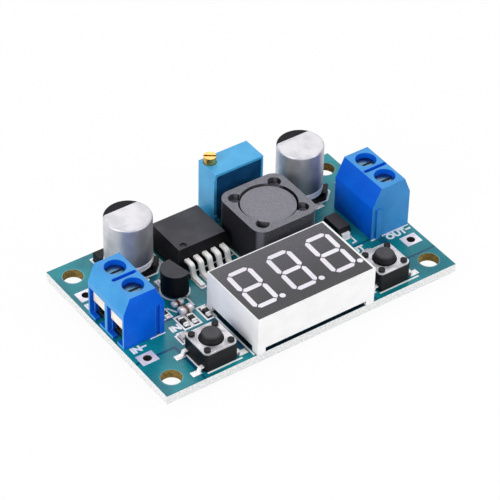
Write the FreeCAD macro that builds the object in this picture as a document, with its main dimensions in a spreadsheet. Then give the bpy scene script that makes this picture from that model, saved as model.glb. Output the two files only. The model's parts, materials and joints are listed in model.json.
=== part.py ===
import FreeCAD
import Part
import Sketcher
import os
from types import SimpleNamespace

# Buck converter module: a circuit board with screw terminals at both ends, a three-digit display,
# two push buttons and the parts of a step-down supply.
# Millimetres. The origin lies on the board's underside, midway between its four mounting holes.
# +X runs along the board to the output terminal, +Y to the trimmer's edge and +Z up.

SIZES = {
    # Circuit board
    "board_length": 56.0,
    "board_width": 35.0,
    "board_thickness": 1.6,
    "mounting_inset_x": 3.0,
    "mounting_inset_y": 3.25,
    "mounting_bore": 3.4,
    "wire_hole_bore": 1.5,
    "wire_hole_inset": 2.3,
    "negative_hole_y": -8.6,
    "positive_hole_y": 9.2,
    "pin_hole_gap": 0.05,
    "pin_reach": 1.6,
    # Screw terminals, measured inwards from the wire side
    "terminal_inset": 0.25,
    "terminal_pitch": 5.08,
    "terminal_depth": 7.55,
    "terminal_height": 10.0,
    "terminal_shoulder": 7.0,
    "terminal_crest_start": 1.2,
    "terminal_crest_end": 5.9,
    "terminal_back_height": 6.4,
    "terminal_screw_x": 3.45,
    "terminal_front_wall": 0.9,
    "terminal_back_wall": 1.55,
    "terminal_cell_width": 4.2,
    "terminal_cell_height": 6.5,
    "window_width": 4.4,
    "window_sill": 0.5,
    "window_top": 5.9,
    "sill_notch_width": 1.2,
    "link_slot_start": 1.25,
    "link_slot_end": 5.7,
    "link_slot_width": 0.7,
    "link_slot_depth": 0.9,
    "rib_x": 6.4,
    "rib_width": 0.8,
    "rib_proud": 0.35,
    "rib_gap": 0.05,
    "rib_drop": 0.3,
    # Terminal contact frames, guards and screws
    "frame_side_gap": 0.15,
    "frame_end_gap": 0.3,
    "frame_lift": 0.35,
    "frame_wall": 0.5,
    "frame_roof_gap": 0.2,
    "frame_roof": 1.1,
    "contact_pin_length": 1.0,
    "contact_pin_width": 0.8,
    "screw_radius": 1.43,
    "screw_gap": 0.05,
    "screw_head_radius": 1.7,
    "screw_head_gap": 0.075,
    "screw_head_height": 1.0,
    "screw_head_drop": 1.05,
    "screw_slot_width": 0.45,
    "screw_slot_depth": 0.5,
    "guard_thickness": 0.4,
    "guard_roof_gap": 0.15,
    "guard_side_gap": 0.1,
    "guard_lip_width": 3.6,
    "guard_lip_low": 3.3,
    "guard_screw_gap": 0.05,
    "guard_tongue_room": 0.5,
    # Electrolytic capacitors
    "input_capacitor_inset_x": 12.0,
    "input_capacitor_inset_y": 5.75,
    "output_capacitor_inset_x": 10.35,
    "output_capacitor_inset_y": 5.9,
    "can_radius": 3.98,
    "can_top": 10.3,
    "can_crown_radius": 0.4,
    "can_groove_height": 2.3,
    "can_groove_depth": 0.15,
    "can_rim_flare": 0.1,
    "can_rim_height": 0.5,
    "can_rim_slope": 0.3,
    "capacitor_base_margin": 0.17,
    "capacitor_base_gap": 0.03,
    "capacitor_base_height": 1.6,
    "capacitor_base_floor": 0.8,
    "capacitor_base_chamfer": 1.6,
    "capacitor_post": 2.0,
    "capacitor_lead_width": 0.8,
    "capacitor_lead_thickness": 0.25,
    "capacitor_lead_inner": 1.5,
    "capacitor_lead_outer": 5.0,
    "capacitor_lead_room": 0.1,
    # Switching regulator
    "regulator_x": -5.7,
    "regulator_inset_y": 7.8,
    "regulator_width": 10.0,
    "regulator_depth": 8.7,
    "regulator_height": 4.3,
    "regulator_lift": 0.1,
    "regulator_parting": 2.3,
    "regulator_bevel": 0.55,
    "regulator_front_bevel": 0.11,
    "regulator_dimple_radius": 0.6,
    "regulator_dimple_depth": 0.3,
    "regulator_dimple_inset_x": 1.85,
    "regulator_dimple_inset_y": 1.3,
    "tab_thickness": 1.27,
    "tab_reach": 1.25,
    "tab_width": 8.4,
    "tab_depth": 7.2,
    "tab_ear": 0.7,
    "lead_width": 0.81,
    "lead_thickness": 0.45,
    "lead_pitch": 1.7,
    "lead_knee": 1.35,
    "lead_heel": 1.9,
    "lead_reach": 4.85,
    "lead_bend": 0.7,
    # Inductor
    "inductor_x": 6.1,
    "inductor_y": 4.3,
    "inductor_side": 12.1,
    "inductor_height": 8.0,
    "inductor_corner": 2.2,
    "inductor_lift": 0.3,
    "lobe_offset": 3.9,
    "lobe_radius": 1.15,
    "lobe_depth": 1.3,
    "drum_radius": 4.6,
    "drum_gap": 0.35,
    "drum_post_radius": 2.3,
    "drum_flange": 1.1,
    "drum_drop": 0.35,
    "winding_inset": 0.45,
    "winding_gap": 0.05,
    "clip_width": 5.0,
    "clip_thickness": 0.25,
    "clip_tongue": 4.2,
    "clip_upstand": 1.8,
    # Trimmer
    "trimmer_x": 6.2,
    "trimmer_inset_y": 2.4,
    "trimmer_length": 9.5,
    "trimmer_width": 4.85,
    "trimmer_height": 10.0,
    "trimmer_foot": 0.4,
    "trimmer_foot_length": 1.0,
    "trimmer_lip": 0.5,
    "trimmer_side_wall": 0.5,
    "trimmer_far_wall": 0.25,
    "trimmer_cavity_depth": 1.6,
    "trimmer_resin_recess": 0.3,
    "trimmer_lip_chamfer": 0.8,
    "trimmer_corner_start": 1.0,
    "trimmer_screw_inset_x": 1.3,
    "trimmer_screw_inset_y": 1.35,
    "trimmer_screw_radius": 1.075,
    "trimmer_screw_proud": 1.27,
    "trimmer_screw_depth": 3.2,
    "trimmer_screw_gap": 0.06,
    "trimmer_slot_width": 0.4,
    "trimmer_slot_depth": 0.7,
    "trimmer_pin_pitch": 2.54,
    "trimmer_pin_radius": 0.25,
    "trimmer_pin_inset": 0.6,
    "trimmer_pin_rise": 1.2,
    # Display
    "display_inset_y": 6.85,
    "display_length": 22.5,
    "display_width": 14.0,
    "display_height": 7.2,
    "display_rim": 0.2,
    "display_end_rim": 0.35,
    "display_face_thickness": 0.15,
    "display_foot_height": 1.0,
    "display_foot_side": 1.5,
    "display_wall": 0.8,
    "display_underside": 2.0,
    "display_backing": 1.2,
    "digit_pitch": 7.5,
    "digit_width": 4.75,
    "digit_height": 9.4,
    "digit_slant": 0.035,
    "segment_width": 0.85,
    "segment_gap": 0.14,
    "segment_depth": 0.5,
    "dot_radius": 0.5,
    "dot_offset_x": 2.8,
    "dot_offset_y": -4.15,
    "display_pin_pitch": 2.54,
    "display_pin_row": 10.16,
    "display_pin_width": 0.5,
    "display_pin_thickness": 0.3,
    # Push buttons
    "left_button_inset_x": 10.9,
    "left_button_inset_y": 4.1,
    "right_button_inset_x": 11.45,
    "right_button_inset_y": 4.3,
    "button_side": 6.0,
    "button_body_height": 3.3,
    "button_body_corner": 0.4,
    "button_floor": 0.9,
    "button_cover_thickness": 0.3,
    "button_cover_corner": 0.7,
    "button_cover_gap": 0.15,
    "button_post_offset": 2.2,
    "button_post_radius": 0.56,
    "button_post_proud": 0.3,
    "plunger_radius": 1.6,
    "plunger_crown_radius": 1.4,
    "plunger_skirt_radius": 1.88,
    "plunger_skirt_top": 3.85,
    "plunger_shoulder": 4.6,
    "plunger_top": 4.8,
    "plunger_flange_radius": 2.3,
    "plunger_flange_thickness": 0.6,
    "plunger_flange_gap": 0.05,
    "plunger_flange_room": 0.15,
    "plunger_nub_radius": 0.8,
    "dome_inset": 0.25,
    "dome_slope": 1.2,
    "dome_rise": 0.55,
    "dome_thickness": 0.1,
    "dome_gap": 0.02,
    "button_leg_offset": 2.25,
    "button_leg_width": 0.7,
    "button_leg_thickness": 0.2,
    "button_leg_height": 0.75,
    "button_leg_knee": 0.5,
    "button_leg_heel": 0.75,
    "button_leg_reach": 1.9,
    # Small transistor
    "transistor_inset_x": 14.8,
    "transistor_y": 2.4,
    "transistor_turn": 12.0,
    "transistor_radius": 2.4,
    "transistor_flat": 0.9,
    "transistor_low": 0.4,
    "transistor_top": 4.5,
    "transistor_pin_pitch": 1.27,
    "transistor_pin_side": 0.45,
    "transistor_pin_rise": 1.0,
    # Output diode
    "diode_inset_x": 11.1,
    "diode_y": -0.1,
    "diode_width": 2.6,
    "diode_length": 4.3,
    "diode_height": 2.2,
    "diode_parting": 1.15,
    "diode_bevel": 0.2,
    "diode_lead_width": 1.5,
    "diode_lead_thickness": 0.2,
    "diode_lead_reach": 0.5,
    "diode_lead_tongue": 1.1,
    # Controller chip beneath the display
    "controller_length": 6.5,
    "controller_width": 4.4,
    "controller_height": 1.1,
    "controller_lift": 0.1,
    "controller_mark_inset": 0.8,
    "controller_mark_radius": 0.3,
    "controller_mark_depth": 0.1,
    "controller_pitch": 0.65,
    "controller_pins_a_side": 10,
    "controller_lead_width": 0.25,
    "controller_lead_thickness": 0.13,
    "controller_lead_height": 0.5,
    "controller_lead_knee": 0.25,
    "controller_lead_heel": 0.4,
    "controller_lead_reach": 1.0,
    # Chip resistors, ceramic capacitors and indicator lights
    "chip_end": 0.3,
    "ceramic_end": 0.42,
    "resistor_length": 1.6,
    "resistor_width": 0.8,
    "resistor_height": 0.45,
    "resistor1_inset": 11.55,
    "resistor1_y": -4.8,
    "resistor2_inset": 13.15,
    "resistor2_y": -4.8,
    "resistor3_inset": 15.85,
    "resistor3_y": -4.7,
    "resistor4_inset": 10.1,
    "resistor4_y": -1.6,
    "resistor5_inset": 14.3,
    "resistor5_y": 5.15,
    "ceramic1_length": 1.6,
    "ceramic1_width": 0.8,
    "ceramic1_height": 0.8,
    "ceramic1_inset": 13.05,
    "ceramic1_y": -0.85,
    "ceramic2_length": 2.0,
    "ceramic2_width": 1.25,
    "ceramic2_height": 0.85,
    "ceramic2_inset": 13.35,
    "ceramic2_y": -2.8,
    "light_length": 2.0,
    "light_width": 1.25,
    "light_height": 0.8,
    "light_base": 0.35,
    "light_lens_inset": 0.1,
    "input_light_inset": 9.6,
    "input_light_y": -7.9,
    "output_light_inset": 10.2,
    "output_light_y": -7.95,
}

X = FreeCAD.Vector(1, 0, 0)
Y = FreeCAD.Vector(0, 1, 0)
Z = FreeCAD.Vector(0, 0, 1)

# How far a cutting tool reaches past the solid that it cuts
CLEAR = 1.0


class Size:
    """A length: its value now, and the sheet expression that gives it."""

    def __init__(self, value, text):
        self.value = value
        self.text = text

    @staticmethod
    def of(item):
        return item if isinstance(item, Size) else Size(float(item), f"({float(item):g})")

    def __add__(self, other):
        other = Size.of(other)
        return Size(self.value + other.value, f"({self.text} + {other.text})")

    def __sub__(self, other):
        other = Size.of(other)
        return Size(self.value - other.value, f"({self.text} - {other.text})")

    def __mul__(self, other):
        other = Size.of(other)
        return Size(self.value * other.value, f"({self.text} * {other.text})")

    def __truediv__(self, other):
        other = Size.of(other)
        return Size(self.value / other.value, f"({self.text} / {other.text})")

    def __radd__(self, other):
        return Size.of(other) + self

    def __rsub__(self, other):
        return Size.of(other) - self

    def __rmul__(self, other):
        return Size.of(other) * self

    def __neg__(self):
        return Size.of(0) - self


doc = FreeCAD.newDocument("BuckConverterModule")
sheet = doc.addObject("Spreadsheet::Sheet", "Sizes")
for row, (alias, number) in enumerate(SIZES.items(), start=1):
    sheet.set(f"A{row}", alias)
    sheet.set(f"B{row}", str(number))
    sheet.setAlias(f"B{row}", alias)
doc.recompute()
size = SimpleNamespace(**{alias: Size(number, f"Sizes.{alias}") for alias, number in SIZES.items()})
nodes = []


def bind(thing, prop, amount):
    """Tie a property to the sheet."""
    thing.setExpression(prop, Size.of(amount).text)


def place(thing, x=0, y=0, z=0, turn=0, axis=Z):
    """Turn a piece in degrees, then move it."""
    thing.Placement = FreeCAD.Placement(FreeCAD.Vector(), FreeCAD.Rotation(axis, turn))
    for letter, amount in zip("xyz", (x, y, z)):
        bind(thing, f"Placement.Base.{letter}", amount)
    return thing


def node(thing, label, seat=(0, 0, 0), turn=0):
    """Name a finished piece and put it in its seat on the board."""
    thing.Label = label
    place(thing, *seat, turn)
    nodes.append(thing)
    return thing


def span(middle, width):
    """The two ends of a width about its middle."""
    return (middle - width / 2, middle + width / 2)


def box(name, x, y, z):
    """Block between two ends along each axis."""
    made = doc.addObject("Part::Box", name)
    for prop, (low, high) in zip(("Length", "Width", "Height"), (x, y, z)):
        bind(made, prop, Size.of(high) - low)
    return place(made, x[0], y[0], z[0])


def rod(name, radius, z, x=0, y=0):
    """Upright cylinder."""
    made = doc.addObject("Part::Cylinder", name)
    bind(made, "Radius", radius)
    bind(made, "Height", Size.of(z[1]) - z[0])
    return place(made, x, y, z[0])


def wedge(name, low, high, z):
    """Block whose top is smaller than its foot: low and high are each (x ends, y ends)."""
    made = doc.addObject("Part::Wedge", name)
    ends = (("Xmin", low[0][0]), ("Xmax", low[0][1]), ("Zmin", low[1][0]), ("Zmax", low[1][1]),
            ("X2min", high[0][0]), ("X2max", high[0][1]), ("Z2min", high[1][0]), ("Z2max", high[1][1]),
            ("Ymin", z[0]), ("Ymax", z[1]))
    for prop, amount in ends:
        bind(made, prop, amount)
    made.Placement = FreeCAD.Placement(FreeCAD.Vector(), FreeCAD.Rotation(X, 90))
    return made


def fuse(name, parts):
    made = doc.addObject("Part::MultiFuse", name)
    made.Shapes = list(parts)
    return made


def cut(name, base, tools):
    """Base less every tool."""
    made = doc.addObject("Part::Cut", name)
    made.Base = base
    made.Tool = tools[0] if len(tools) == 1 else fuse(name + "Tools", tools)
    return made


def common(name, parts):
    made = doc.addObject("Part::MultiCommon", name)
    made.Shapes = list(parts)
    return made


def group(name, parts):
    """Separate solids that share a node."""
    made = doc.addObject("Part::Compound", name)
    made.Links = list(parts)
    return made


def copy_at(name, original, x=0, y=0, z=0, turn=0):
    """Linked copy of a piece in another place."""
    made = doc.addObject("App::Link", name)
    made.LinkedObject = original
    made.LinkTransform = False
    return place(made, x, y, z, turn)


def body(name):
    made = doc.addObject("PartDesign::Body", name)
    made.AllowCompound = True
    return made


def plane(owner, role):
    return next(feature for feature in owner.Origin.OriginFeatures if feature.Role == role)


def sketch(owner, name, role, away=0):
    """Sketch on one of the body's own origin planes, or moved off it along its normal."""
    made = owner.newObject("Sketcher::SketchObject", name)
    made.AttachmentSupport = (plane(owner, role), "")
    made.MapMode = "FlatFace"
    bind(made, "AttachmentOffset.Base.z", away)
    return made


def pin_down(drawing, geometry, point, x, y):
    """Fix a sketch point by its distances from the sketch's origin."""
    for kind, amount in (("DistanceX", Size.of(x)), ("DistanceY", Size.of(y))):
        rule = Sketcher.Constraint(kind, -1, 1, geometry, point, amount.value)
        number = drawing.addConstraint(rule)
        drawing.setExpression(f"Constraints[{number}]", amount.text)


def outline(drawing, points):
    """Closed outline of straight lines through the points."""
    corners = [FreeCAD.Vector(Size.of(x).value, Size.of(y).value, 0) for x, y in points]
    first = drawing.GeometryCount
    for corner, following in zip(corners, corners[1:] + corners[:1]):
        drawing.addGeometry(Part.LineSegment(corner, following))
    for index, (x, y) in enumerate(points):
        following = first + (index + 1) % len(points)
        drawing.addConstraint(Sketcher.Constraint("Coincident", first + index, 2, following, 1))
        pin_down(drawing, first + index, 1, x, y)


def rectangle(drawing, x, y):
    outline(drawing, [(x[0], y[0]), (x[1], y[0]), (x[1], y[1]), (x[0], y[1])])


def circle(drawing, x, y, radius):
    radius = Size.of(radius)
    middle = FreeCAD.Vector(Size.of(x).value, Size.of(y).value, 0)
    index = drawing.addGeometry(Part.Circle(middle, Z, radius.value))
    pin_down(drawing, index, 3, x, y)
    number = drawing.addConstraint(Sketcher.Constraint("Radius", index, radius.value))
    drawing.setExpression(f"Constraints[{number}]", radius.text)


def pad(owner, drawing, length, both_ways=False, backwards=False):
    made = owner.newObject("PartDesign::Pad", drawing.Name + "Pad")
    made.Profile = drawing
    made.Midplane = both_ways
    made.Reversed = backwards
    bind(made, "Length", length)
    doc.recompute()
    return made


def pocket(owner, drawing, depth, both_ways=False, backwards=False):
    """Cut a sketch into the body, and refuse a cut that takes nothing away."""
    before = owner.Shape.Volume
    made = owner.newObject("PartDesign::Pocket", drawing.Name + "Pocket")
    made.Profile = drawing
    made.Midplane = both_ways
    made.Reversed = backwards
    bind(made, "Length", depth)
    doc.recompute()
    if made.Shape.Volume > before - 1e-6:
        raise ValueError(f"{made.Name} takes nothing away")
    return made


def revolve(owner, drawing):
    """Turn a sketch on the XZ plane about the upright axis."""
    made = owner.newObject("PartDesign::Revolution", drawing.Name + "Turn")
    made.Profile = drawing
    made.ReferenceAxis = (drawing, ["V_Axis"])
    made.Angle = 360
    doc.recompute()
    return made


def repeat(owner, originals, axis, reach, count):
    """Row of features along one of the body's axes, from the first to the last over the reach."""
    made = owner.newObject("PartDesign::LinearPattern", originals[0].Name + "Row")
    made.Originals = originals
    made.Direction = (plane(owner, axis), [""])
    bind(made, "Length", reach)
    made.Occurrences = count
    owner.Tip = made
    doc.recompute()
    return made


def runs_along(edge, direction):
    """Whether an edge is straight and runs along a direction."""
    return edge.Curve.TypeId == "Part::GeomLine" and abs(edge.Curve.Direction.dot(direction)) > 0.99


def dress(owner, base, kind, amount, wanted):
    """Fillet or chamfer those edges of a feature that `wanted` picks."""
    names = [f"Edge{n}" for n, edge in enumerate(base.Shape.Edges, start=1) if wanted(edge)]
    made = owner.newObject(f"PartDesign::{kind}", base.Name + kind)
    made.Base = (base, names)
    bind(made, "Radius" if kind == "Fillet" else "Size", amount)
    doc.recompute()
    return made


def gull_wing(knee, heel, reach, height, thickness):
    """Side view of a lead that leaves a body at a height and ends flat on the board."""
    return [(0, height), (0, height + thickness), (knee + thickness, height + thickness),
            (heel + thickness, thickness), (reach, thickness), (reach, 0), (heel, 0), (knee, height)]


def lead(name, side_view, width, bend=None):
    """One bent lead, running out along +X; with a bend radius its four bends are rounded."""
    made = body(name)
    drawing = sketch(made, name + "Side", "XZ_Plane")
    outline(drawing, side_view)
    strip = pad(made, drawing, width, both_ways=True)
    far_end = strip.Shape.BoundBox.XMax

    def is_bend(edge):
        return runs_along(edge, Y) and 0.01 < edge.CenterOfMass.x < far_end - 0.01

    if bend:
        dress(made, strip, "Fillet", bend, is_bend)
    return made


top = size.board_thickness
pin_end = -(size.board_thickness + size.pin_reach)
west = -size.board_length / 2
east = size.board_length / 2
south = -size.board_width / 2
north = size.board_width / 2

# Pins that pass through the board, kept for its holes. A flat pin is (x, y, length, width, turn)
# and a round one is (x, y, radius).
flat_pins = []
round_pins = []


def terminal_housing(side, seat, turn):
    """Two-pole housing: sloped crown, wire windows, screw wells and dovetail rib and groove."""
    width = size.terminal_pitch * 2
    made = body(f"{side}TerminalHousing")
    profile = sketch(made, f"{side}HousingProfile", "XZ_Plane")
    outline(profile, [(0, 0), (size.terminal_depth, 0), (size.terminal_depth, size.terminal_back_height),
                      (size.terminal_crest_end, size.terminal_height),
                      (size.terminal_crest_start, size.terminal_height), (0, size.terminal_shoulder)])
    pad(made, profile, width, both_ways=True)

    cells = sketch(made, f"{side}HousingCells", "XY_Plane")
    wells = sketch(made, f"{side}HousingWells", "XY_Plane", size.terminal_height)
    windows = sketch(made, f"{side}HousingWindows", "YZ_Plane")
    notches = sketch(made, f"{side}HousingNotches", "YZ_Plane")
    for middle in (-size.terminal_pitch / 2, size.terminal_pitch / 2):
        cell_x = (size.terminal_front_wall, size.terminal_depth - size.terminal_back_wall)
        rectangle(cells, cell_x, span(middle, size.terminal_cell_width))
        circle(wells, size.terminal_screw_x, middle, size.screw_head_radius + size.screw_head_gap)
        rectangle(windows, span(middle, size.window_width), (size.window_sill, size.window_top))
        rectangle(notches, span(middle, size.sill_notch_width), (0, size.window_sill))
    pocket(made, cells, size.terminal_cell_height, backwards=True)
    pocket(made, wells, size.terminal_height - size.terminal_cell_height)
    pocket(made, windows, size.terminal_front_wall, backwards=True)
    pocket(made, notches, size.terminal_front_wall, backwards=True)

    slot = sketch(made, f"{side}HousingSlot", "XY_Plane", size.terminal_height)
    slot_end = size.link_slot_width / 2
    rectangle(slot, (size.link_slot_start + slot_end, size.link_slot_end - slot_end),
              span(0, size.link_slot_width))
    pocket(made, slot, size.link_slot_depth)
    rounds = sketch(made, f"{side}HousingSlotEnds", "XY_Plane", size.terminal_height)
    circle(rounds, size.link_slot_start + slot_end, 0, slot_end)
    circle(rounds, size.link_slot_end - slot_end, 0, slot_end)
    pocket(made, rounds, size.link_slot_depth)

    rib_top = size.terminal_back_height - size.rib_drop
    groove = sketch(made, f"{side}HousingGroove", "XZ_Plane", width / 2)
    rectangle(groove, span(size.rib_x, size.rib_width + size.rib_gap * 2), (0, rib_top))
    pocket(made, groove, size.rib_proud + size.rib_gap)
    rib = sketch(made, f"{side}HousingRib", "XZ_Plane", -width / 2)
    rectangle(rib, span(size.rib_x, size.rib_width), (0, rib_top))
    pad(made, rib, size.rib_proud, backwards=True)
    node(made, f"{side.lower()}_terminal_housing", seat, turn)


def contact_frame(name, middle):
    """Brass frame round one cell's wire space, with a tapped roof and a pin to the board."""
    x = (size.terminal_front_wall + size.frame_end_gap,
         size.terminal_depth - size.terminal_back_wall - size.frame_end_gap)
    outer = size.terminal_cell_width - size.frame_side_gap * 2
    roof_top = size.terminal_cell_height - size.frame_roof_gap
    block = box(name + "Block", x, span(middle, outer), (size.frame_lift, roof_top))
    space = box(name + "Space", (x[0] - CLEAR, x[1] + CLEAR), span(middle, outer - size.frame_wall * 2),
                (size.frame_lift + size.frame_wall, roof_top - size.frame_roof))
    bore = rod(name + "Bore", size.screw_radius + size.screw_gap,
               (roof_top - size.frame_roof - CLEAR, roof_top + CLEAR), size.terminal_screw_x, middle)
    pin = box(name + "Pin", span(size.terminal_screw_x, size.contact_pin_length),
              span(middle, size.contact_pin_width), (pin_end, size.frame_lift + size.frame_wall / 2))
    return fuse(name, [cut(name + "Loop", block, [space, bore]), pin])


def wire_guard(name, middle):
    """Sprung tongue under the screw, with a lip that hangs in the window."""
    roof = size.terminal_cell_height - size.frame_roof_gap - size.frame_roof - size.guard_roof_gap
    inner = size.terminal_cell_width - (size.frame_side_gap + size.frame_wall + size.guard_side_gap) * 2
    tongue_end = (size.terminal_depth - size.terminal_back_wall - size.frame_end_gap
                  - size.guard_tongue_room)
    tongue = box(name + "Tongue", (size.terminal_front_wall, tongue_end), span(middle, inner),
                 (roof - size.guard_thickness, roof))
    lip = box(name + "Lip", (size.terminal_front_wall - size.guard_thickness, size.terminal_front_wall),
              span(middle, size.guard_lip_width), (size.guard_lip_low, roof))
    return fuse(name, [tongue, lip])


def clamp_screw(name, middle):
    """Slotted cheese-head screw that bears on the guard's tongue."""
    guard_top = size.terminal_cell_height - size.frame_roof_gap - size.frame_roof - size.guard_roof_gap
    head_top = size.terminal_height - size.screw_head_drop
    head_low = head_top - size.screw_head_height
    x = size.terminal_screw_x
    shank_z = (guard_top + size.guard_screw_gap, head_top - size.screw_slot_depth)
    shank = rod(name + "Shank", size.screw_radius, shank_z, x, middle)
    head = rod(name + "Head", size.screw_head_radius, (head_low, head_top), x, middle)
    slot = box(name + "Slot", span(x, size.screw_head_radius * 2 + CLEAR),
               span(middle, size.screw_slot_width),
               (head_top - size.screw_slot_depth, head_top + CLEAR))
    return cut(name, fuse(name + "Turned", [shank, head]), [slot])


def terminal(side, x, turn):
    """Everything in one screw terminal. Its local +X runs inwards from the wire side."""
    seat = (x, 0, top)
    low = side.lower()
    terminal_housing(side, seat, turn)
    half_pitch = size.terminal_pitch / 2
    frames = [contact_frame(f"{side}Frame{n}", middle) for n, middle in enumerate((-half_pitch, half_pitch))]
    node(group(f"{side}Contacts", frames), f"{low}_terminal_contacts", seat, turn)
    sign = -1 if turn else 1
    for place_name, middle in (("front", -sign * half_pitch), ("rear", sign * half_pitch)):
        title = side + place_name.title()
        node(wire_guard(title + "Guard", middle), f"{low}_{place_name}_wire_guard", seat, turn)
        node(clamp_screw(title + "Screw", middle), f"{low}_{place_name}_clamp_screw", seat, turn)
        flat_pins.append((x + sign * size.terminal_screw_x, sign * middle, size.contact_pin_length,
                          size.contact_pin_width, 0))


def capacitor(side, x, y):
    """Surface-mount electrolytic: crimped can, keyed base and two flat leads."""
    seat = (x, y, top)
    low = side.lower()
    can = body(f"{side}Can")
    profile = sketch(can, f"{side}CanProfile", "XZ_Plane")
    radius = size.can_radius
    floor = size.capacitor_base_floor
    groove = size.can_groove_height
    depth = size.can_groove_depth
    rim = radius + size.can_rim_flare
    rim_top = floor + size.can_rim_height
    outline(profile, [(0, floor), (rim, floor), (rim, rim_top), (radius, rim_top + size.can_rim_slope),
                      (radius, groove - depth), (radius - depth, groove), (radius, groove + depth),
                      (radius, size.can_top), (0, size.can_top)])
    turned = revolve(can, profile)

    def is_crown(edge):
        return edge.CenterOfMass.z > size.can_top.value - 0.01 and len(edge.Vertexes) == 1

    dress(can, turned, "Fillet", size.can_crown_radius, is_crown)
    node(can, f"{low}_capacitor_can", seat)

    half = radius + size.capacitor_base_margin
    corner = half - size.capacitor_base_chamfer
    inner = size.capacitor_lead_inner - size.capacitor_lead_room
    base = body(f"{side}CapacitorBase")
    foot = sketch(base, f"{side}BaseOutline", "XY_Plane")
    outline(foot, [(-corner, -half), (corner, -half), (half, -corner), (half, half), (-half, half),
                   (-half, -corner)])
    pad(base, foot, size.capacitor_base_height)
    saddle = sketch(base, f"{side}BaseSaddle", "XY_Plane", size.capacitor_base_height)
    circle(saddle, 0, 0, rim + size.capacitor_base_gap)
    pocket(base, saddle, size.capacitor_base_height - floor)
    sides = sketch(base, f"{side}BaseSides", "XY_Plane", size.capacitor_base_height)
    gap = half - size.capacitor_post
    reach = half + CLEAR
    outline(sides, [(-gap, -reach), (gap, -reach), (gap, -gap), (reach, -gap), (reach, gap), (gap, gap),
                    (gap, reach), (-gap, reach), (-gap, gap), (-reach, gap), (-reach, -gap), (-gap, -gap)])
    pocket(base, sides, size.capacitor_base_height - floor)
    channels = sketch(base, f"{side}BaseChannels", "XY_Plane")
    lead_room = span(0, size.capacitor_lead_width + size.capacitor_lead_room)
    rectangle(channels, lead_room, (inner, reach))
    rectangle(channels, lead_room, (-reach, -inner))
    pocket(base, channels, size.capacitor_lead_thickness, backwards=True)
    node(base, f"{low}_capacitor_base", seat)

    ends = [(size.capacitor_lead_inner, size.capacitor_lead_outer),
            (-size.capacitor_lead_outer, -size.capacitor_lead_inner)]
    leads = [box(f"{side}CapacitorLead{n}", span(0, size.capacitor_lead_width), y_ends,
                 (0, size.capacitor_lead_thickness)) for n, y_ends in enumerate(ends)]
    node(group(f"{side}CapacitorLeads", leads), f"{low}_capacitor_leads", seat)


def regulator():
    """Five-lead power package: bevelled body, heat tab behind it and gull-wing leads in front."""
    seat = (size.regulator_x, north - size.regulator_inset_y, top)
    half_width = size.regulator_width / 2
    half_depth = size.regulator_depth / 2
    bevel = size.regulator_bevel

    tab = body("RegulatorTab")
    flat = sketch(tab, "TabOutline", "XY_Plane")
    rear = half_depth + size.tab_reach
    half_tab = size.tab_width / 2
    wing = half_width
    outline(flat, [(-half_tab, half_depth - size.tab_depth), (half_tab, half_depth - size.tab_depth),
                   (half_tab, half_depth), (wing, half_depth), (wing, rear - size.tab_ear),
                   (wing - size.tab_ear, rear), (-wing + size.tab_ear, rear), (-wing, rear - size.tab_ear),
                   (-wing, half_depth), (-half_tab, half_depth)])
    pad(tab, flat, size.tab_thickness)
    node(tab, "regulator_tab", seat)

    foot = (span(0, size.regulator_width), span(0, size.regulator_depth))
    crown = ((-half_width + bevel, half_width - bevel),
             (-half_depth + size.regulator_front_bevel, half_depth - bevel))
    lower = box("RegulatorLower", *foot, (size.regulator_lift, size.regulator_parting))
    upper = wedge("RegulatorUpper", foot, crown, (size.regulator_parting, size.regulator_height))
    slug_room = box("RegulatorSlugRoom", span(0, size.tab_width),
                    (half_depth - size.tab_depth, half_depth + CLEAR), (0, size.tab_thickness))
    dimple = rod("RegulatorDimple", size.regulator_dimple_radius,
                 (size.regulator_height - size.regulator_dimple_depth, size.regulator_height + CLEAR),
                 -half_width + size.regulator_dimple_inset_x, -half_depth + size.regulator_dimple_inset_y)
    moulding = cut("RegulatorBody", fuse("RegulatorMoulding", [lower, upper]), [slug_room, dimple])
    node(moulding, "regulator_body", seat)

    side_view = gull_wing(size.lead_knee, size.lead_heel, size.lead_reach,
                          size.regulator_parting - size.lead_thickness / 2, size.lead_thickness)
    one = lead("RegulatorLead", side_view, size.lead_width, size.lead_bend)
    copies = [copy_at(f"RegulatorLead{n}", one, x=(n - 2) * size.lead_pitch, y=-half_depth, turn=-90)
              for n in range(5)]
    node(group("RegulatorLeads", copies), "regulator_leads", seat)


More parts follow.
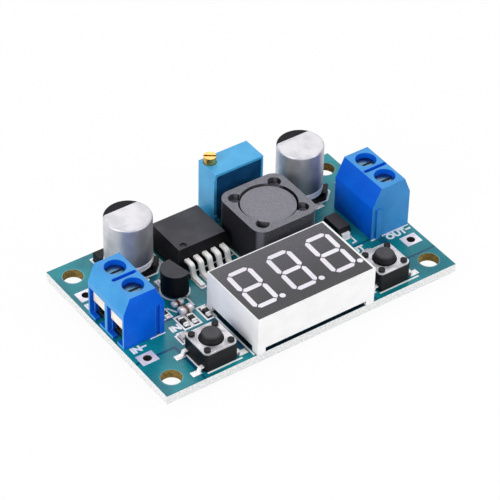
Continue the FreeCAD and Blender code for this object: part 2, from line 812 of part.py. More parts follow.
def inductor():
    """Shielded power inductor: square ferrite ring round a wound drum, on two clips."""
    seat = (size.inductor_x, size.inductor_y, top)
    low = size.inductor_lift
    drum_top = size.inductor_height - size.drum_drop

    shield = body("InductorShield")
    flat = sketch(shield, "ShieldOutline", "XY_Plane", low)
    rectangle(flat, span(0, size.inductor_side), span(0, size.inductor_side))
    block = pad(shield, flat, size.inductor_height - low)
    dress(shield, block, "Fillet", size.inductor_corner, lambda edge: runs_along(edge, Z))
    bore = sketch(shield, "ShieldBore", "XY_Plane", size.inductor_height)
    circle(bore, 0, 0, size.drum_radius + size.drum_gap)
    pocket(shield, bore, size.inductor_height - low)
    lobes = sketch(shield, "ShieldLobes", "XY_Plane", size.inductor_height)
    for x in (-size.lobe_offset, size.lobe_offset):
        for y in (-size.lobe_offset, size.lobe_offset):
            circle(lobes, x, y, size.lobe_radius)
    pocket(shield, lobes, size.lobe_depth)
    node(shield, "inductor_shield", seat)

    core = body("InductorCore")
    profile = sketch(core, "DrumProfile", "XZ_Plane")
    outline(profile, [(0, low), (size.drum_radius, low), (size.drum_radius, low + size.drum_flange),
                      (size.drum_post_radius, low + size.drum_flange),
                      (size.drum_post_radius, drum_top - size.drum_flange),
                      (size.drum_radius, drum_top - size.drum_flange), (size.drum_radius, drum_top),
                      (0, drum_top)])
    revolve(core, profile)
    node(core, "inductor_core", seat)

    winding_z = (low + size.drum_flange + size.winding_gap, drum_top - size.drum_flange - size.winding_gap)
    coil = rod("WindingCoil", size.drum_radius - size.winding_inset, winding_z)
    hole = rod("WindingHole", size.drum_post_radius + size.winding_gap, (low, drum_top))
    node(cut("InductorWinding", coil, [hole]), "inductor_winding", seat)

    edge = size.inductor_side / 2
    clip = body("InductorClip")
    bend = sketch(clip, "ClipSide", "YZ_Plane")
    outline(bend, [(edge - size.clip_tongue, 0), (edge + size.clip_thickness, 0),
                   (edge + size.clip_thickness, size.clip_upstand), (edge, size.clip_upstand), (edge, low),
                   (edge - size.clip_tongue, low)])
    pad(clip, bend, size.clip_width, both_ways=True)
    clips = [copy_at(f"InductorClip{n}", clip, turn=turn) for n, turn in enumerate((0, 180))]
    node(group("InductorClips", clips), "inductor_terminals", seat)


def trimmer():
    """Multi-turn trimmer: tray-shaped housing, potted front, slotted screw and three pins."""
    seat = (size.trimmer_x, north - size.trimmer_inset_y, top)
    half_length = size.trimmer_length / 2
    half_width = size.trimmer_width / 2
    foot = size.trimmer_foot
    lip_x = (-half_length + size.trimmer_side_wall, half_length - size.trimmer_far_wall)
    lip_top = size.trimmer_height - size.trimmer_lip

    housing = body("TrimmerHousing")
    front_view = sketch(housing, "TrimmerFront", "XZ_Plane")
    foot_end = half_length - size.trimmer_foot_length
    outline(front_view, [(-half_length, 0), (-foot_end, 0), (-foot_end, foot), (foot_end, foot),
                         (foot_end, 0), (half_length, 0), (half_length, size.trimmer_height),
                         (-half_length, size.trimmer_height)])
    pad(housing, front_view, size.trimmer_width, both_ways=True)
    cavity = sketch(housing, "TrimmerCavity", "XZ_Plane", half_width)
    outline(cavity, [(lip_x[0], foot), (lip_x[1], foot), (lip_x[1], lip_top), (lip_x[0], lip_top)])
    pocket(housing, cavity, size.trimmer_cavity_depth)
    corner = sketch(housing, "TrimmerLipCorner", "XZ_Plane", half_width)
    corner_low = foot + size.trimmer_corner_start
    outline(corner, [(-half_length, corner_low), (lip_x[0], corner_low), (lip_x[0], lip_top),
                     (-half_length, lip_top - size.trimmer_lip_chamfer)])
    pocket(housing, corner, size.trimmer_resin_recess)
    screw_x = -half_length + size.trimmer_screw_inset_x
    screw_y = half_width - size.trimmer_screw_inset_y
    bore = sketch(housing, "TrimmerBore", "XY_Plane", size.trimmer_height)
    circle(bore, screw_x, screw_y, size.trimmer_screw_radius + size.trimmer_screw_gap)
    pocket(housing, bore, size.trimmer_screw_depth + size.trimmer_screw_gap)
    node(housing, "trimmer_housing", seat)

    pin_y = -half_width + size.trimmer_cavity_depth - size.trimmer_pin_inset
    pin_top = foot + size.trimmer_pin_rise
    resin = box("TrimmerResinBlock", lip_x,
                (-half_width + size.trimmer_resin_recess, -half_width + size.trimmer_cavity_depth),
                (foot, lip_top))
    spots = [(n - 1) * size.trimmer_pin_pitch for n in range(3)]
    holes = [rod(f"TrimmerPinRoom{n}", size.trimmer_pin_radius, (foot - CLEAR, pin_top), x, pin_y)
             for n, x in enumerate(spots)]
    node(cut("TrimmerResin", resin, holes), "trimmer_resin", seat)

    stems = [rod(f"TrimmerPin{n}", size.trimmer_pin_radius, (pin_end, pin_top), x, pin_y)
             for n, x in enumerate(spots)]
    node(group("TrimmerPins", stems), "trimmer_pins", seat)
    for x in spots:
        round_pins.append((seat[0] + x, seat[1] + pin_y, size.trimmer_pin_radius))

    head = rod("TrimmerScrewRod", size.trimmer_screw_radius,
               (-size.trimmer_screw_depth, size.trimmer_screw_proud))
    slot = box("TrimmerScrewSlot", span(0, size.trimmer_screw_radius * 2 + CLEAR),
               span(0, size.trimmer_slot_width),
               (size.trimmer_screw_proud - size.trimmer_slot_depth, size.trimmer_screw_proud + CLEAR))
    screw_seat = (seat[0] + screw_x, seat[1] + screw_y, top + size.trimmer_height)
    node(cut("TrimmerScrew", head, [slot]), "trimmer_screw", screw_seat, -36)


def digit(drawing):
    """One seven-segment figure eight and its dot, drawn about the first digit's centre."""
    middle_x = -size.digit_pitch
    half_width = size.digit_width / 2
    half_height = size.digit_height / 2
    half = size.segment_width / 2
    gap = size.segment_gap

    def lean(x, y):
        """Point of the digit, leaning to the right with its height."""
        return (middle_x + x + y * size.digit_slant, y)

    def bar_across(y, low, high):
        """Level segment: `low` and `high` are its half widths below and above its middle line."""
        left = -half_width + half
        right = half_width - half
        outline(drawing, [lean(left + gap, y), lean(left + gap + high, y + high),
                          lean(right - gap - high, y + high), lean(right - gap, y),
                          lean(right - gap - low, y - low), lean(left + gap + low, y - low)])

    def bar_up(x, low, high):
        """Upright segment from `low` to `high` on its middle line."""
        outline(drawing, [lean(x, low + gap), lean(x + half, low + gap + half),
                          lean(x + half, high - gap - half), lean(x, high - gap),
                          lean(x - half, high - gap - half), lean(x - half, low + gap + half)])

    for y in (half_height - half, 0 * half, half - half_height):
        bar_across(y, half, half)
    for x in (half - half_width, half_width - half):
        bar_up(x, 0 * half, half_height - half)
        bar_up(x, half - half_height, 0 * half)
    circle(drawing, middle_x + size.dot_offset_x, size.dot_offset_y, size.dot_radius)


def display():
    """Three-digit display: white shell on corner feet, dark face, bright segments and two pin rows."""
    seat = (0, south + size.display_inset_y, top)
    row_reach = size.digit_pitch * 2
    face_low = size.display_height - size.display_face_thickness
    segment_low = size.display_height - size.segment_depth
    half_length = size.display_length / 2
    half_width = size.display_width / 2

    shell = body("DisplayHousing")
    flat = sketch(shell, "DisplayOutline", "XY_Plane", size.display_foot_height)
    rectangle(flat, span(0, size.display_length), span(0, size.display_width))
    pad(shell, flat, size.display_height - size.display_foot_height)
    feet = sketch(shell, "DisplayFeet", "XY_Plane")
    for x in ((-half_length, -half_length + size.display_foot_side),
              (half_length - size.display_foot_side, half_length)):
        for y in ((-half_width, -half_width + size.display_foot_side),
                  (half_width - size.display_foot_side, half_width)):
            rectangle(feet, x, y)
    pad(shell, feet, size.display_foot_height)
    underside = sketch(shell, "DisplayUnderside", "XY_Plane", size.display_foot_height)
    well_x = span(0, size.display_length - size.display_wall * 2)
    well_y = span(0, size.display_width - size.display_wall * 2)
    rectangle(underside, well_x, well_y)
    well_depth = size.display_underside - size.display_foot_height + size.display_backing
    pocket(shell, underside, well_depth, backwards=True)
    face_room = sketch(shell, "DisplayFaceRoom", "XY_Plane", size.display_height)
    face_x = (-half_length + size.display_rim, half_length - size.display_end_rim)
    face_y = span(0, size.display_width - size.display_rim * 2)
    rectangle(face_room, face_x, face_y)
    pocket(shell, face_room, size.display_face_thickness)
    cells = sketch(shell, "DisplayCells", "XY_Plane", size.display_height)
    digit(cells)
    sunk = pocket(shell, cells, size.segment_depth)
    repeat(shell, [sunk], "X_Axis", row_reach, 3)
    node(shell, "display_housing", seat)

    face = body("DisplayFace")
    film = sketch(face, "DisplayFilm", "XY_Plane", face_low)
    rectangle(film, face_x, face_y)
    pad(face, film, size.display_face_thickness)
    cut_outs = sketch(face, "DisplayFaceCells", "XY_Plane", size.display_height)
    digit(cut_outs)
    opened = pocket(face, cut_outs, size.display_face_thickness)
    repeat(face, [opened], "X_Axis", row_reach, 3)
    node(face, "display_face", seat)

    bright = body("DisplaySegments")
    bars = sketch(bright, "DisplayBars", "XY_Plane", segment_low)
    digit(bars)
    raised = pad(bright, bars, size.segment_depth)
    repeat(bright, [raised], "X_Axis", row_reach, 3)
    node(bright, "display_segments", seat)

    rows = [(-1, n) for n in range(6)] + [(1, n) for n in range(5)]
    spots = [((n - 2.5) * size.display_pin_pitch, sign * size.display_pin_row / 2) for sign, n in rows]
    backing = box("DisplayBackingSlab", well_x, well_y,
                  (size.display_underside, size.display_underside + size.display_backing))
    pin_x = size.display_pin_width
    pin_y = size.display_pin_thickness
    pin_top = size.display_underside + size.display_backing / 2
    holes = [box(f"DisplayPinRoom{n}", span(x, pin_x), span(y, pin_y), (0, pin_top))
             for n, (x, y) in enumerate(spots)]
    node(cut("DisplayBacking", backing, holes), "display_backing", seat)
    stems = [box(f"DisplayPin{n}", span(x, pin_x), span(y, pin_y), (pin_end, pin_top))
             for n, (x, y) in enumerate(spots)]
    node(group("DisplayPins", stems), "display_pins", seat)
    for x, y in spots:
        flat_pins.append((seat[0] + x, seat[1] + y, pin_x, pin_y, 0))


def button(side, x, y):
    """Push button: moulded base with four posts, metal cover, plunger, snap dome and four legs."""
    seat = (x, y, top)
    low = side.lower()
    lid = size.button_body_height
    cover_top = lid + size.button_cover_thickness
    offsets = (-size.button_post_offset, size.button_post_offset)

    base = body(f"{side}ButtonBase")
    flat = sketch(base, f"{side}ButtonOutline", "XY_Plane")
    rectangle(flat, span(0, size.button_side), span(0, size.button_side))
    block = pad(base, flat, lid)
    dress(base, block, "Fillet", size.button_body_corner, lambda edge: runs_along(edge, Z))
    well = sketch(base, f"{side}ButtonWell", "XY_Plane", lid)
    well_radius = size.plunger_flange_radius + size.plunger_flange_room
    circle(well, 0, 0, well_radius)
    pocket(base, well, lid - size.button_floor)
    posts = sketch(base, f"{side}ButtonPosts", "XY_Plane", lid)
    for post_x in offsets:
        for post_y in offsets:
            circle(posts, post_x, post_y, size.button_post_radius)
    pad(base, posts, size.button_cover_thickness + size.button_post_proud)
    node(base, f"{low}_button_base", seat)

    cover = body(f"{side}ButtonCover")
    plate = sketch(cover, f"{side}CoverOutline", "XY_Plane", lid)
    rectangle(plate, span(0, size.button_side), span(0, size.button_side))
    sheet_metal = pad(cover, plate, size.button_cover_thickness)
    dress(cover, sheet_metal, "Fillet", size.button_cover_corner, lambda edge: runs_along(edge, Z))
    holes = sketch(cover, f"{side}CoverHoles", "XY_Plane", cover_top)
    circle(holes, 0, 0, size.plunger_skirt_radius + size.button_cover_gap)
    for post_x in offsets:
        for post_y in offsets:
            circle(holes, post_x, post_y, size.button_post_radius)
    pocket(cover, holes, size.button_cover_thickness)
    node(cover, f"{low}_button_cover", seat)

    flange_top = lid - size.plunger_flange_gap
    flange_low = flange_top - size.plunger_flange_thickness
    dome_top = size.button_floor + size.dome_rise
    plunger = body(f"{side}ButtonPlunger")
    profile = sketch(plunger, f"{side}PlungerProfile", "XZ_Plane")
    outline(profile, [(0, dome_top + size.dome_gap), (size.plunger_nub_radius, dome_top + size.dome_gap),
                      (size.plunger_nub_radius, flange_low), (size.plunger_flange_radius, flange_low),
                      (size.plunger_flange_radius, flange_top), (size.plunger_skirt_radius, flange_top),
                      (size.plunger_skirt_radius, size.plunger_skirt_top),
                      (size.plunger_radius, size.plunger_shoulder),
                      (size.plunger_crown_radius, size.plunger_top), (0, size.plunger_top)])
    revolve(plunger, profile)
    node(plunger, f"{low}_button_plunger", seat)

    dome = body(f"{side}ButtonDome")
    curve = sketch(dome, f"{side}DomeProfile", "XZ_Plane")
    dome_radius = well_radius - size.dome_inset
    crown = dome_radius - size.dome_slope
    outline(curve, [(0, dome_top - size.dome_thickness), (crown, dome_top - size.dome_thickness),
                    (dome_radius, size.button_floor),
                    (dome_radius, size.button_floor + size.dome_thickness), (crown, dome_top),
                    (0, dome_top)])
    revolve(dome, curve)
    node(dome, f"{low}_button_dome", seat)

    side_view = gull_wing(size.button_leg_knee, size.button_leg_heel, size.button_leg_reach,
                          size.button_leg_height, size.button_leg_thickness)
    one = lead(f"{side}ButtonLeg", side_view, size.button_leg_width)
    half = size.button_side / 2
    legs = []
    for sign, turn in ((1, 0), (-1, 180)):
        for leg_y in (-size.button_leg_offset, size.button_leg_offset):
            legs.append(copy_at(f"{side}ButtonLeg{len(legs)}", one, sign * half, leg_y, 0, turn))
    node(group(f"{side}ButtonLegs", legs), f"{low}_button_legs", seat)


def transistor():
    """Small transistor: round body with one flat side, on three pins in a row."""
    seat = (west + size.transistor_inset_x, size.transistor_y, top)
    z = (size.transistor_low, size.transistor_top)
    barrel = rod("TransistorBarrel", size.transistor_radius, z)
    keep = box("TransistorKeep", (-size.transistor_radius - CLEAR, size.transistor_flat),
               span(0, (size.transistor_radius + CLEAR) * 2), z)
    moulding = common("TransistorMoulding", [barrel, keep])
    spots = [(n - 1) * size.transistor_pin_pitch for n in range(3)]
    side = size.transistor_pin_side
    pin_top = size.transistor_low + size.transistor_pin_rise
    holes = [box(f"TransistorPinRoom{n}", span(0, side), span(y, side), (0, pin_top))
             for n, y in enumerate(spots)]
    turn = SIZES["transistor_turn"]
    node(cut("TransistorBody", moulding, holes), "transistor_body", seat, turn)
    stems = [box(f"TransistorPin{n}", span(0, side), span(y, side), (pin_end, pin_top))
             for n, y in enumerate(spots)]
    node(group("TransistorPins", stems), "transistor_leads", seat, turn)
    for y in spots:
        turned = FreeCAD.Rotation(Z, turn).multVec(Y)
        flat_pins.append((seat[0] + y * turned.x, seat[1] + y * turned.y, side, side, turn))


def output_diode():
    """Power diode: bevelled body with a lead folded down and under at each end."""
    seat = (east - size.diode_inset_x, size.diode_y, top)
    half = size.diode_length / 2
    bevel = size.diode_bevel
    middle = (span(0, size.diode_width), span(0, size.diode_length))
    ends = (span(0, size.diode_width - bevel * 2), span(0, size.diode_length - bevel * 2))
    low = size.diode_lead_thickness
    lower = wedge("DiodeLower", ends, middle, (low, size.diode_parting))
    upper = wedge("DiodeUpper", middle, ends, (size.diode_parting, size.diode_height))
    node(fuse("DiodeBody", [lower, upper]), "output_diode_body", seat)

    thick = size.diode_lead_thickness
    reach = half + size.diode_lead_reach
    strap_top = size.diode_parting + thick / 2
    strap_low = size.diode_parting - thick / 2
    straps = []
    for n, turn in enumerate((0, 180)):
        made = body(f"DiodeLead{n}")
        drawing = sketch(made, f"DiodeLeadSide{n}", "XZ_Plane")
        outline(drawing, [(half, strap_low), (half, strap_top), (reach, strap_top), (reach, 0),
                          (half - size.diode_lead_tongue, 0), (half - size.diode_lead_tongue, thick),
                          (reach - thick, thick), (reach - thick, strap_low)])
        pad(made, drawing, size.diode_lead_width, both_ways=True)
        straps.append(place(made, turn=90 + turn))
    node(group("DiodeLeads", straps), "output_diode_leads", seat)


def controller():
    """Thin controller chip in the space beneath the display."""
    seat = (0, south + size.display_inset_y, top)
    z = (size.controller_lift, size.controller_height)
    half = size.controller_width / 2
    moulding = box("ControllerMoulding", span(0, size.controller_length), span(0, size.controller_width), z)
    mark_inset = size.controller_mark_inset
    mark = rod("ControllerMark", size.controller_mark_radius,
               (size.controller_height - size.controller_mark_depth, size.controller_height + CLEAR),
               -size.controller_length / 2 + mark_inset, -half + mark_inset)
    node(cut("ControllerBody", moulding, [mark]), "controller_body", seat)
    side_view = gull_wing(size.controller_lead_knee, size.controller_lead_heel, size.controller_lead_reach,
                          size.controller_lead_height, size.controller_lead_thickness)
    one = lead("ControllerLead", side_view, size.controller_lead_width)
    count = SIZES["controller_pins_a_side"]
    copies = []
    for sign, turn in ((-1, -90), (1, 90)):
        for n in range(count):
            x = (n - (count - 1) / 2) * size.controller_pitch
            copies.append(copy_at(f"ControllerLead{len(copies)}", one, x, sign * half, 0, turn))
    node(group("ControllerLeads", copies), "controller_leads", seat)


def chip(name, length, width, height, x, y, upright, end=size.chip_end):
    """Chip part: its body and its two metal ends, lying along X, or along Y where it is upright."""
    inner = length / 2 - end
    pieces = []
    for n, ends in enumerate(((-inner, inner), (-length / 2, -inner), (inner, length / 2))):
        across = span(0, width)
        along_x, along_y = (across, ends) if upright else (ends, across)
        pieces.append(box(f"{name}Piece{n}", (x + along_x[0], x + along_x[1]),
                          (y + along_y[0], y + along_y[1]), (0, height)))
    return pieces[0], pieces[1:]


def chips():
    """Chip resistors, ceramic capacitors and indicator lights, each kind in two groups."""
    bodies = []
    ends = []
    for n in range(1, 6):
        x = west + getattr(size, f"resistor{n}_inset")
        y = getattr(size, f"resistor{n}_y")
        middle, caps = chip(f"Resistor{n}", size.resistor_length, size.resistor_width,
                            size.resistor_height, x, y, n < 5)
        bodies.append(middle)
        ends.extend(caps)
    node(group("ResistorBodies", bodies), "chip_resistor_bodies", (0, 0, top))
    node(group("ResistorEnds", ends), "chip_resistor_ends", (0, 0, top))

    bodies = []
    ends = []
    for n in (1, 2):
        length, width, height, inset, y = (getattr(size, f"ceramic{n}_{word}")
                                           for word in ("length", "width", "height", "inset", "y"))
        middle, caps = chip(f"Ceramic{n}", length, width, height, west + inset, y, False, size.ceramic_end)
        bodies.append(middle)
        ends.extend(caps)
    node(group("CeramicBodies", bodies), "ceramic_capacitor_bodies", (0, 0, top))
    node(group("CeramicEnds", ends), "ceramic_capacitor_ends", (0, 0, top))

    bodies = []
    ends = []
    for side, x in (("input", west + size.input_light_inset), ("output", east - size.output_light_inset)):
        y = getattr(size, f"{side}_light_y")
        middle, caps = chip(f"{side.title()}Light", size.light_length, size.light_width, size.light_base,
                            x, y, True)
        room = size.chip_end + size.light_lens_inset
        lens_y = span(y, size.light_length - room * 2)
        lens = box(f"{side.title()}LightLens", span(x, size.light_width), lens_y,
                   (size.light_base, size.light_height))
        bodies.append(fuse(f"{side.title()}LightBody", [middle, lens]))
        ends.extend(caps)
    node(group("LightBodies", bodies), "indicator_light_bodies", (0, 0, top))
    node(group("LightEnds", ends), "indicator_light_ends", (0, 0, top))


def circuit_board():
    """Bare board: mounting holes, wire holes and a hole round each pin."""
    made = body("CircuitBoard")
    flat = sketch(made, "BoardOutline", "XY_Plane")
    rectangle(flat, (west, east), (south, north))
    pad(made, flat, size.board_thickness)
    large = sketch(made, "BoardMountingHoles", "XY_Plane", size.board_thickness)
    wires = sketch(made, "BoardWireHoles", "XY_Plane", size.board_thickness)
    for sign, edge in ((1, west), (-1, east)):
        for y in (south + size.mounting_inset_y, north - size.mounting_inset_y):
            circle(large, edge + sign * size.mounting_inset_x, y, size.mounting_bore / 2)
        for y in (size.negative_hole_y, size.positive_hole_y):
            circle(wires, edge + sign * size.wire_hole_inset, y, size.wire_hole_bore / 2)
    pocket(made, large, size.board_thickness)
    pocket(made, wires, size.board_thickness)
    small = sketch(made, "BoardPinHoles", "XY_Plane", size.board_thickness)
    for x, y, length, width, turn in flat_pins:
        turned = FreeCAD.Rotation(Z, turn).multVec(X)
        half_length = length / 2 + size.pin_hole_gap
        half_width = width / 2 + size.pin_hole_gap
        along = (half_length * turned.x, half_length * turned.y)
        across = (-half_width * turned.y, half_width * turned.x)
        outline(small, [(x + a * along[0] + b * across[0], y + a * along[1] + b * across[1])
                        for a, b in ((-1, -1), (1, -1), (1, 1), (-1, 1))])
    for x, y, radius in round_pins:
        circle(small, x, y, radius + size.pin_hole_gap)
    pocket(made, small, size.board_thickness)
    node(made, "circuit_board")


terminal("Input", west + size.terminal_inset, 0)
terminal("Output", east - size.terminal_inset, 180)
capacitor("Input", west + size.input_capacitor_inset_x, north - size.input_capacitor_inset_y)
capacitor("Output", east - size.output_capacitor_inset_x, north - size.output_capacitor_inset_y)
regulator()
inductor()
trimmer()
display()
button("Left", west + size.left_button_inset_x, south + size.left_button_inset_y)
button("Right", east - size.right_button_inset_x, south + size.right_button_inset_y)
transistor()
output_diode()
controller()
chips()
circuit_board()
doc.recompute()

failed = [thing.Name for thing in doc.Objects if {"Invalid", "Error"} & set(thing.State)]
if failed:
    raise ValueError(f"objects that did not compute: {failed}")
for piece in nodes:
    if piece.Shape.isNull() or not piece.Shape.isValid():
        raise ValueError(f"{piece.Label} has no valid shape")

os.makedirs("parts", exist_ok=True)
for piece in nodes:
    piece.Shape.exportStep(f"parts/{piece.Label}.step")
print(f"{len(nodes)} pieces written")
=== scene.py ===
# %% [markdown]
# # A buck converter module
# This lesson dresses a small step-down supply: a teal circuit board with two blue screw terminals, a
# three-digit display, two push buttons and the parts of the supply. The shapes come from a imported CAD
# model. Blender adds what is printed, tinned and soldered on the board, and the look of every surface.
# The model is loaded as a fixed frame, in metres, and its box is kept to compare with at the end.

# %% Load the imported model
import json
import math

import bpy
from mathutils import Matrix, Vector


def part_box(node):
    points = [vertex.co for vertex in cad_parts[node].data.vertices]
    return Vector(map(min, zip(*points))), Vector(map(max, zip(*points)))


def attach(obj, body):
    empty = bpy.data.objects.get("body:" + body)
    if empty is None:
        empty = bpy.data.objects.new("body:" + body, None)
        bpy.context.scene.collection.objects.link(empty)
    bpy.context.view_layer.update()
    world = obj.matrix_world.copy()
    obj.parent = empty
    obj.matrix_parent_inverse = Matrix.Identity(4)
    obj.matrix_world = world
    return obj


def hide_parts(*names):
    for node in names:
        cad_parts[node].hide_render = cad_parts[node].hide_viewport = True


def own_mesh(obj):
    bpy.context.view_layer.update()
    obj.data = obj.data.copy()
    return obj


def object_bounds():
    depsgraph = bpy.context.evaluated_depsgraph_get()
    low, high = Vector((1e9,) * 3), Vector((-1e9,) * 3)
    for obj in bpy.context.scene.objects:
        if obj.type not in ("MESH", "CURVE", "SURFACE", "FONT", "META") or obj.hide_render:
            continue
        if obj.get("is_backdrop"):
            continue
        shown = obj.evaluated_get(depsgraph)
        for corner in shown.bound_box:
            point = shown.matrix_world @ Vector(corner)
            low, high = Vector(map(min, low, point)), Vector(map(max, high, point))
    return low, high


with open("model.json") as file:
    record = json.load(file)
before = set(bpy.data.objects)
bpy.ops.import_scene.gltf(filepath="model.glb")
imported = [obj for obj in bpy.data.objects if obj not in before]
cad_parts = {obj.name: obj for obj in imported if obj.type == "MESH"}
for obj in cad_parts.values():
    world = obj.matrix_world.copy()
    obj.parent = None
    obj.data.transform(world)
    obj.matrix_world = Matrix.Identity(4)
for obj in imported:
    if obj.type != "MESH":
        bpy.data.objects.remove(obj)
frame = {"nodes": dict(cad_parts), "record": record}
cad_box = [list(corner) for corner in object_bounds()]
MM = 0.001
BOARD = [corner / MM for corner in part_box("circuit_board")]
TOP = BOARD[1].z
print("board, mm:", [round(side, 2) for side in BOARD[1] - BOARD[0]], "nodes:", len(frame["nodes"]))

# %% [markdown]
# ## The camera
# The photograph looks down on the module from the front left with a long lens. A camera is fixed by the
# point it looks at, the angle round that point, the angle above the floor, its roll and its distance.
# Building its turn from three axes, right, up and back, avoids guessing at Euler angles.

# %% Camera
AIM = Vector((2.349, 3.870, 1.6)) * MM
AZIMUTH, ELEVATION, ROLL = (math.radians(angle) for angle in (-35.784, 40.078, 1.28))
DISTANCE = 414.549 * MM

camera_data = bpy.data.cameras.new("Camera")
camera_data.lens, camera_data.sensor_width = 183.80, 36
camera_data.clip_start, camera_data.clip_end = 0.02, 20
camera = bpy.data.objects.new("Camera", camera_data)
bpy.context.scene.collection.objects.link(camera)
back = Vector((math.sin(AZIMUTH) * math.cos(ELEVATION), -math.cos(AZIMUTH) * math.cos(ELEVATION),
               math.sin(ELEVATION)))
level = Vector((math.cos(AZIMUTH), math.sin(AZIMUTH), 0))
rise = back.cross(level)
right = level * math.cos(ROLL) + rise * math.sin(ROLL)
up = rise * math.cos(ROLL) - level * math.sin(ROLL)
turn = Matrix((right, up, back)).transposed().to_4x4()
camera.matrix_world = Matrix.Translation(AIM + back * DISTANCE) @ turn
bpy.context.scene.camera = camera
print("camera at", [round(value, 3) for value in camera.matrix_world.translation])

# %% [markdown]
# ## Sums in a shader
# A material is a graph of nodes, and a long graph is hard to read as node calls. So one small class wraps
# a node's output. Sums on it add Math nodes, which lets a pattern be written as a formula, and every other
# node comes from one method: its type, its settings, then the values or links of its sockets.

# %% The Wire class
class Wire:
    """One output of a shader node, on which sums can be written."""

    tree = None

    def __init__(self, socket):
        self.socket = socket

    @classmethod
    def node(cls, kind, settings=None, inputs=None, output=0):
        made = cls.tree.nodes.new(f"ShaderNode{kind}")
        for name, value in (settings or {}).items():
            setattr(made, name, value)
        for name, value in (inputs or {}).items():
            if isinstance(value, Wire):
                cls.tree.links.new(value.socket, made.inputs[name])
            else:
                made.inputs[name].default_value = value
        return cls(made.outputs[output]) if made.outputs else None

    def maths(self, operation, *others):
        return Wire.node("Math", {"operation": operation}, dict(enumerate((self, *others))))

    def __add__(self, other):
        return self.maths("ADD", other)

    def __sub__(self, other):
        return self.maths("SUBTRACT", other)

    def __rsub__(self, other):
        return Wire.node("Math", {"operation": "SUBTRACT"}, {0: other, 1: self})

    def __mul__(self, other):
        return self.maths("MULTIPLY", other)

    def __gt__(self, other):
        return self.maths("GREATER_THAN", other)

    def __lt__(self, other):
        return self.maths("LESS_THAN", other)

    def __or__(self, other):
        return self.maths("MAXIMUM", other)

    def __and__(self, other):
        return self.maths("MINIMUM", other)

    def __abs__(self):
        return self.maths("ABSOLUTE")

    __radd__ = __add__


# %% Helpers for patterns and colours
def colour(red, green, blue):
    """A colour as a screen shows it, 0 to 255, turned into the light it stands for."""
    return tuple((part / 255 / 12.92 if part <= 10 else ((part / 255 + 0.055) / 1.055) ** 2.4)
                 for part in (red, green, blue)) + (1,)


def mixed(amount, first, second):
    """First colour where amount is 0, second where it is 1."""
    return Wire.node("Mix", {"data_type": "RGBA"}, {0: amount, 6: first, 7: second}, output=2)


def parted(vector):
    """The three numbers of a vector."""
    split = Wire.node("SeparateXYZ", inputs={0: vector}).socket.node
    return [Wire(socket) for socket in split.outputs]


def in_millimetres(place):
    """The three coordinates of a place, in millimetres."""
    return [axis * (1 / MM) for axis in parted(place)]


def noise(place, size, detail=2.0):
    """Cloudy pattern whose features are about a size in millimetres."""
    return Wire.node("TexNoise", inputs={"Vector": place, "Scale": 1 / (size * MM), "Detail": detail})


def fade(value, start, end):
    """0 before the start and 1 after the end, with a soft step between."""
    return Wire.node("MapRange", {"interpolation_type": "SMOOTHSTEP"},
                     {"Value": value, "From Min": start, "From Max": end})


def normal():
    """The three parts of the direction that the surface faces."""
    return parted(Wire.node("TexCoord", output="Normal"))


def soft_corners(width):
    """Direction of the surface with its sharp corners rounded over a width in millimetres."""
    return Wire.node("Bevel", {"samples": 4}, {"Radius": width * MM})


def relief(height, depth, corner):
    """Normal of a surface with a height pattern of a depth, and with its sharp corners softened."""
    return Wire.node("Bump", inputs={"Height": height, "Distance": depth * MM,
                                     "Normal": soft_corners(corner)})


def highlight_on_edges(width):
    """Where a painted highlight goes: 1 on a sharp edge and 0 further from it than a width in millimetres."""
    flat = Wire.node("NewGeometry", output="Normal")
    alike = Wire.node("VectorMath", {"operation": "DOT_PRODUCT"}, {0: soft_corners(width), 1: flat},
                      output="Value")
    return fade(alike, 0.99, 0.8)


finishes = {}


def finish(name, recipe, **fixed):
    """Make a material from what a recipe gives for its varying sockets, and from fixed values."""
    made = bpy.data.materials.new(name)
    made.use_nodes = True
    made.node_tree.nodes.clear()
    Wire.tree = made.node_tree
    place = Wire.node("TexCoord", output="Object")
    constants = {socket.replace("_", " "): value for socket, value in fixed.items()}
    shader = Wire.node("BsdfPrincipled", inputs={**constants, **recipe(place)})
    Wire.node("OutputMaterial", inputs={"Surface": shader})
    finishes[name] = made


# %% [markdown]
# ## Moulded plastics
# The terminals are blue polyamide, the buttons and capacitor feet black plastic, and the chips filled
# epoxy. All come from a steel mould that was spark-eroded, so they have a fine even grain, a slight cloud
# in their colour and a sheen that varies with how well the mould filled. One recipe serves them all, with
# its own two colours, grain and gloss. The grain is a bump a few thousandths of a millimetre deep, and a
# little deeper on resin that was poured.

# %% Plastic finishes
def moulding_pattern(place, cloud_size, grain):
    """Cloud and grain of a moulding, and the tone that they give its colour."""
    cloud = noise(place, cloud_size)
    fine = noise(place, grain, 3)
    return cloud, fine, fade(cloud * 0.7 + fine * 0.3, 0.3, 0.7)


def moulding_sheen(gloss, cloud, fine):
    """Roughness of a moulding about a middle value."""
    return gloss + (cloud - 0.5) * 0.15 + (fine - 0.5) * 0.1


def moulded(dark, light, gloss=0.45, grain=0.25, depth=0.006, corner=0.08, lit_top_colours=None, edge_highlight=None):
    """Recipe of a moulding. Given two colours for its upper faces, these are painted on as lit tops, and
    given an edge colour, its edges get a painted highlight.
    """
    def recipe(place):
        cloud, fine, tone = moulding_pattern(place, 3.5, grain)
        body = mixed(tone, dark, light)
        if lit_top_colours:
            # upper faces painted lighter: painted light from above
            body = mixed(fade(normal()[2], 0.5, 0.9), body, mixed(tone, *lit_top_colours))
        if edge_highlight:
            # painted highlight along the edges
            body = mixed(highlight_on_edges(0.14) * 0.7, body, edge_highlight)
        return {"Base Color": body,
                "Roughness": moulding_sheen(gloss, cloud, fine),
                "Normal": relief(fine, depth, corner)}
    return recipe


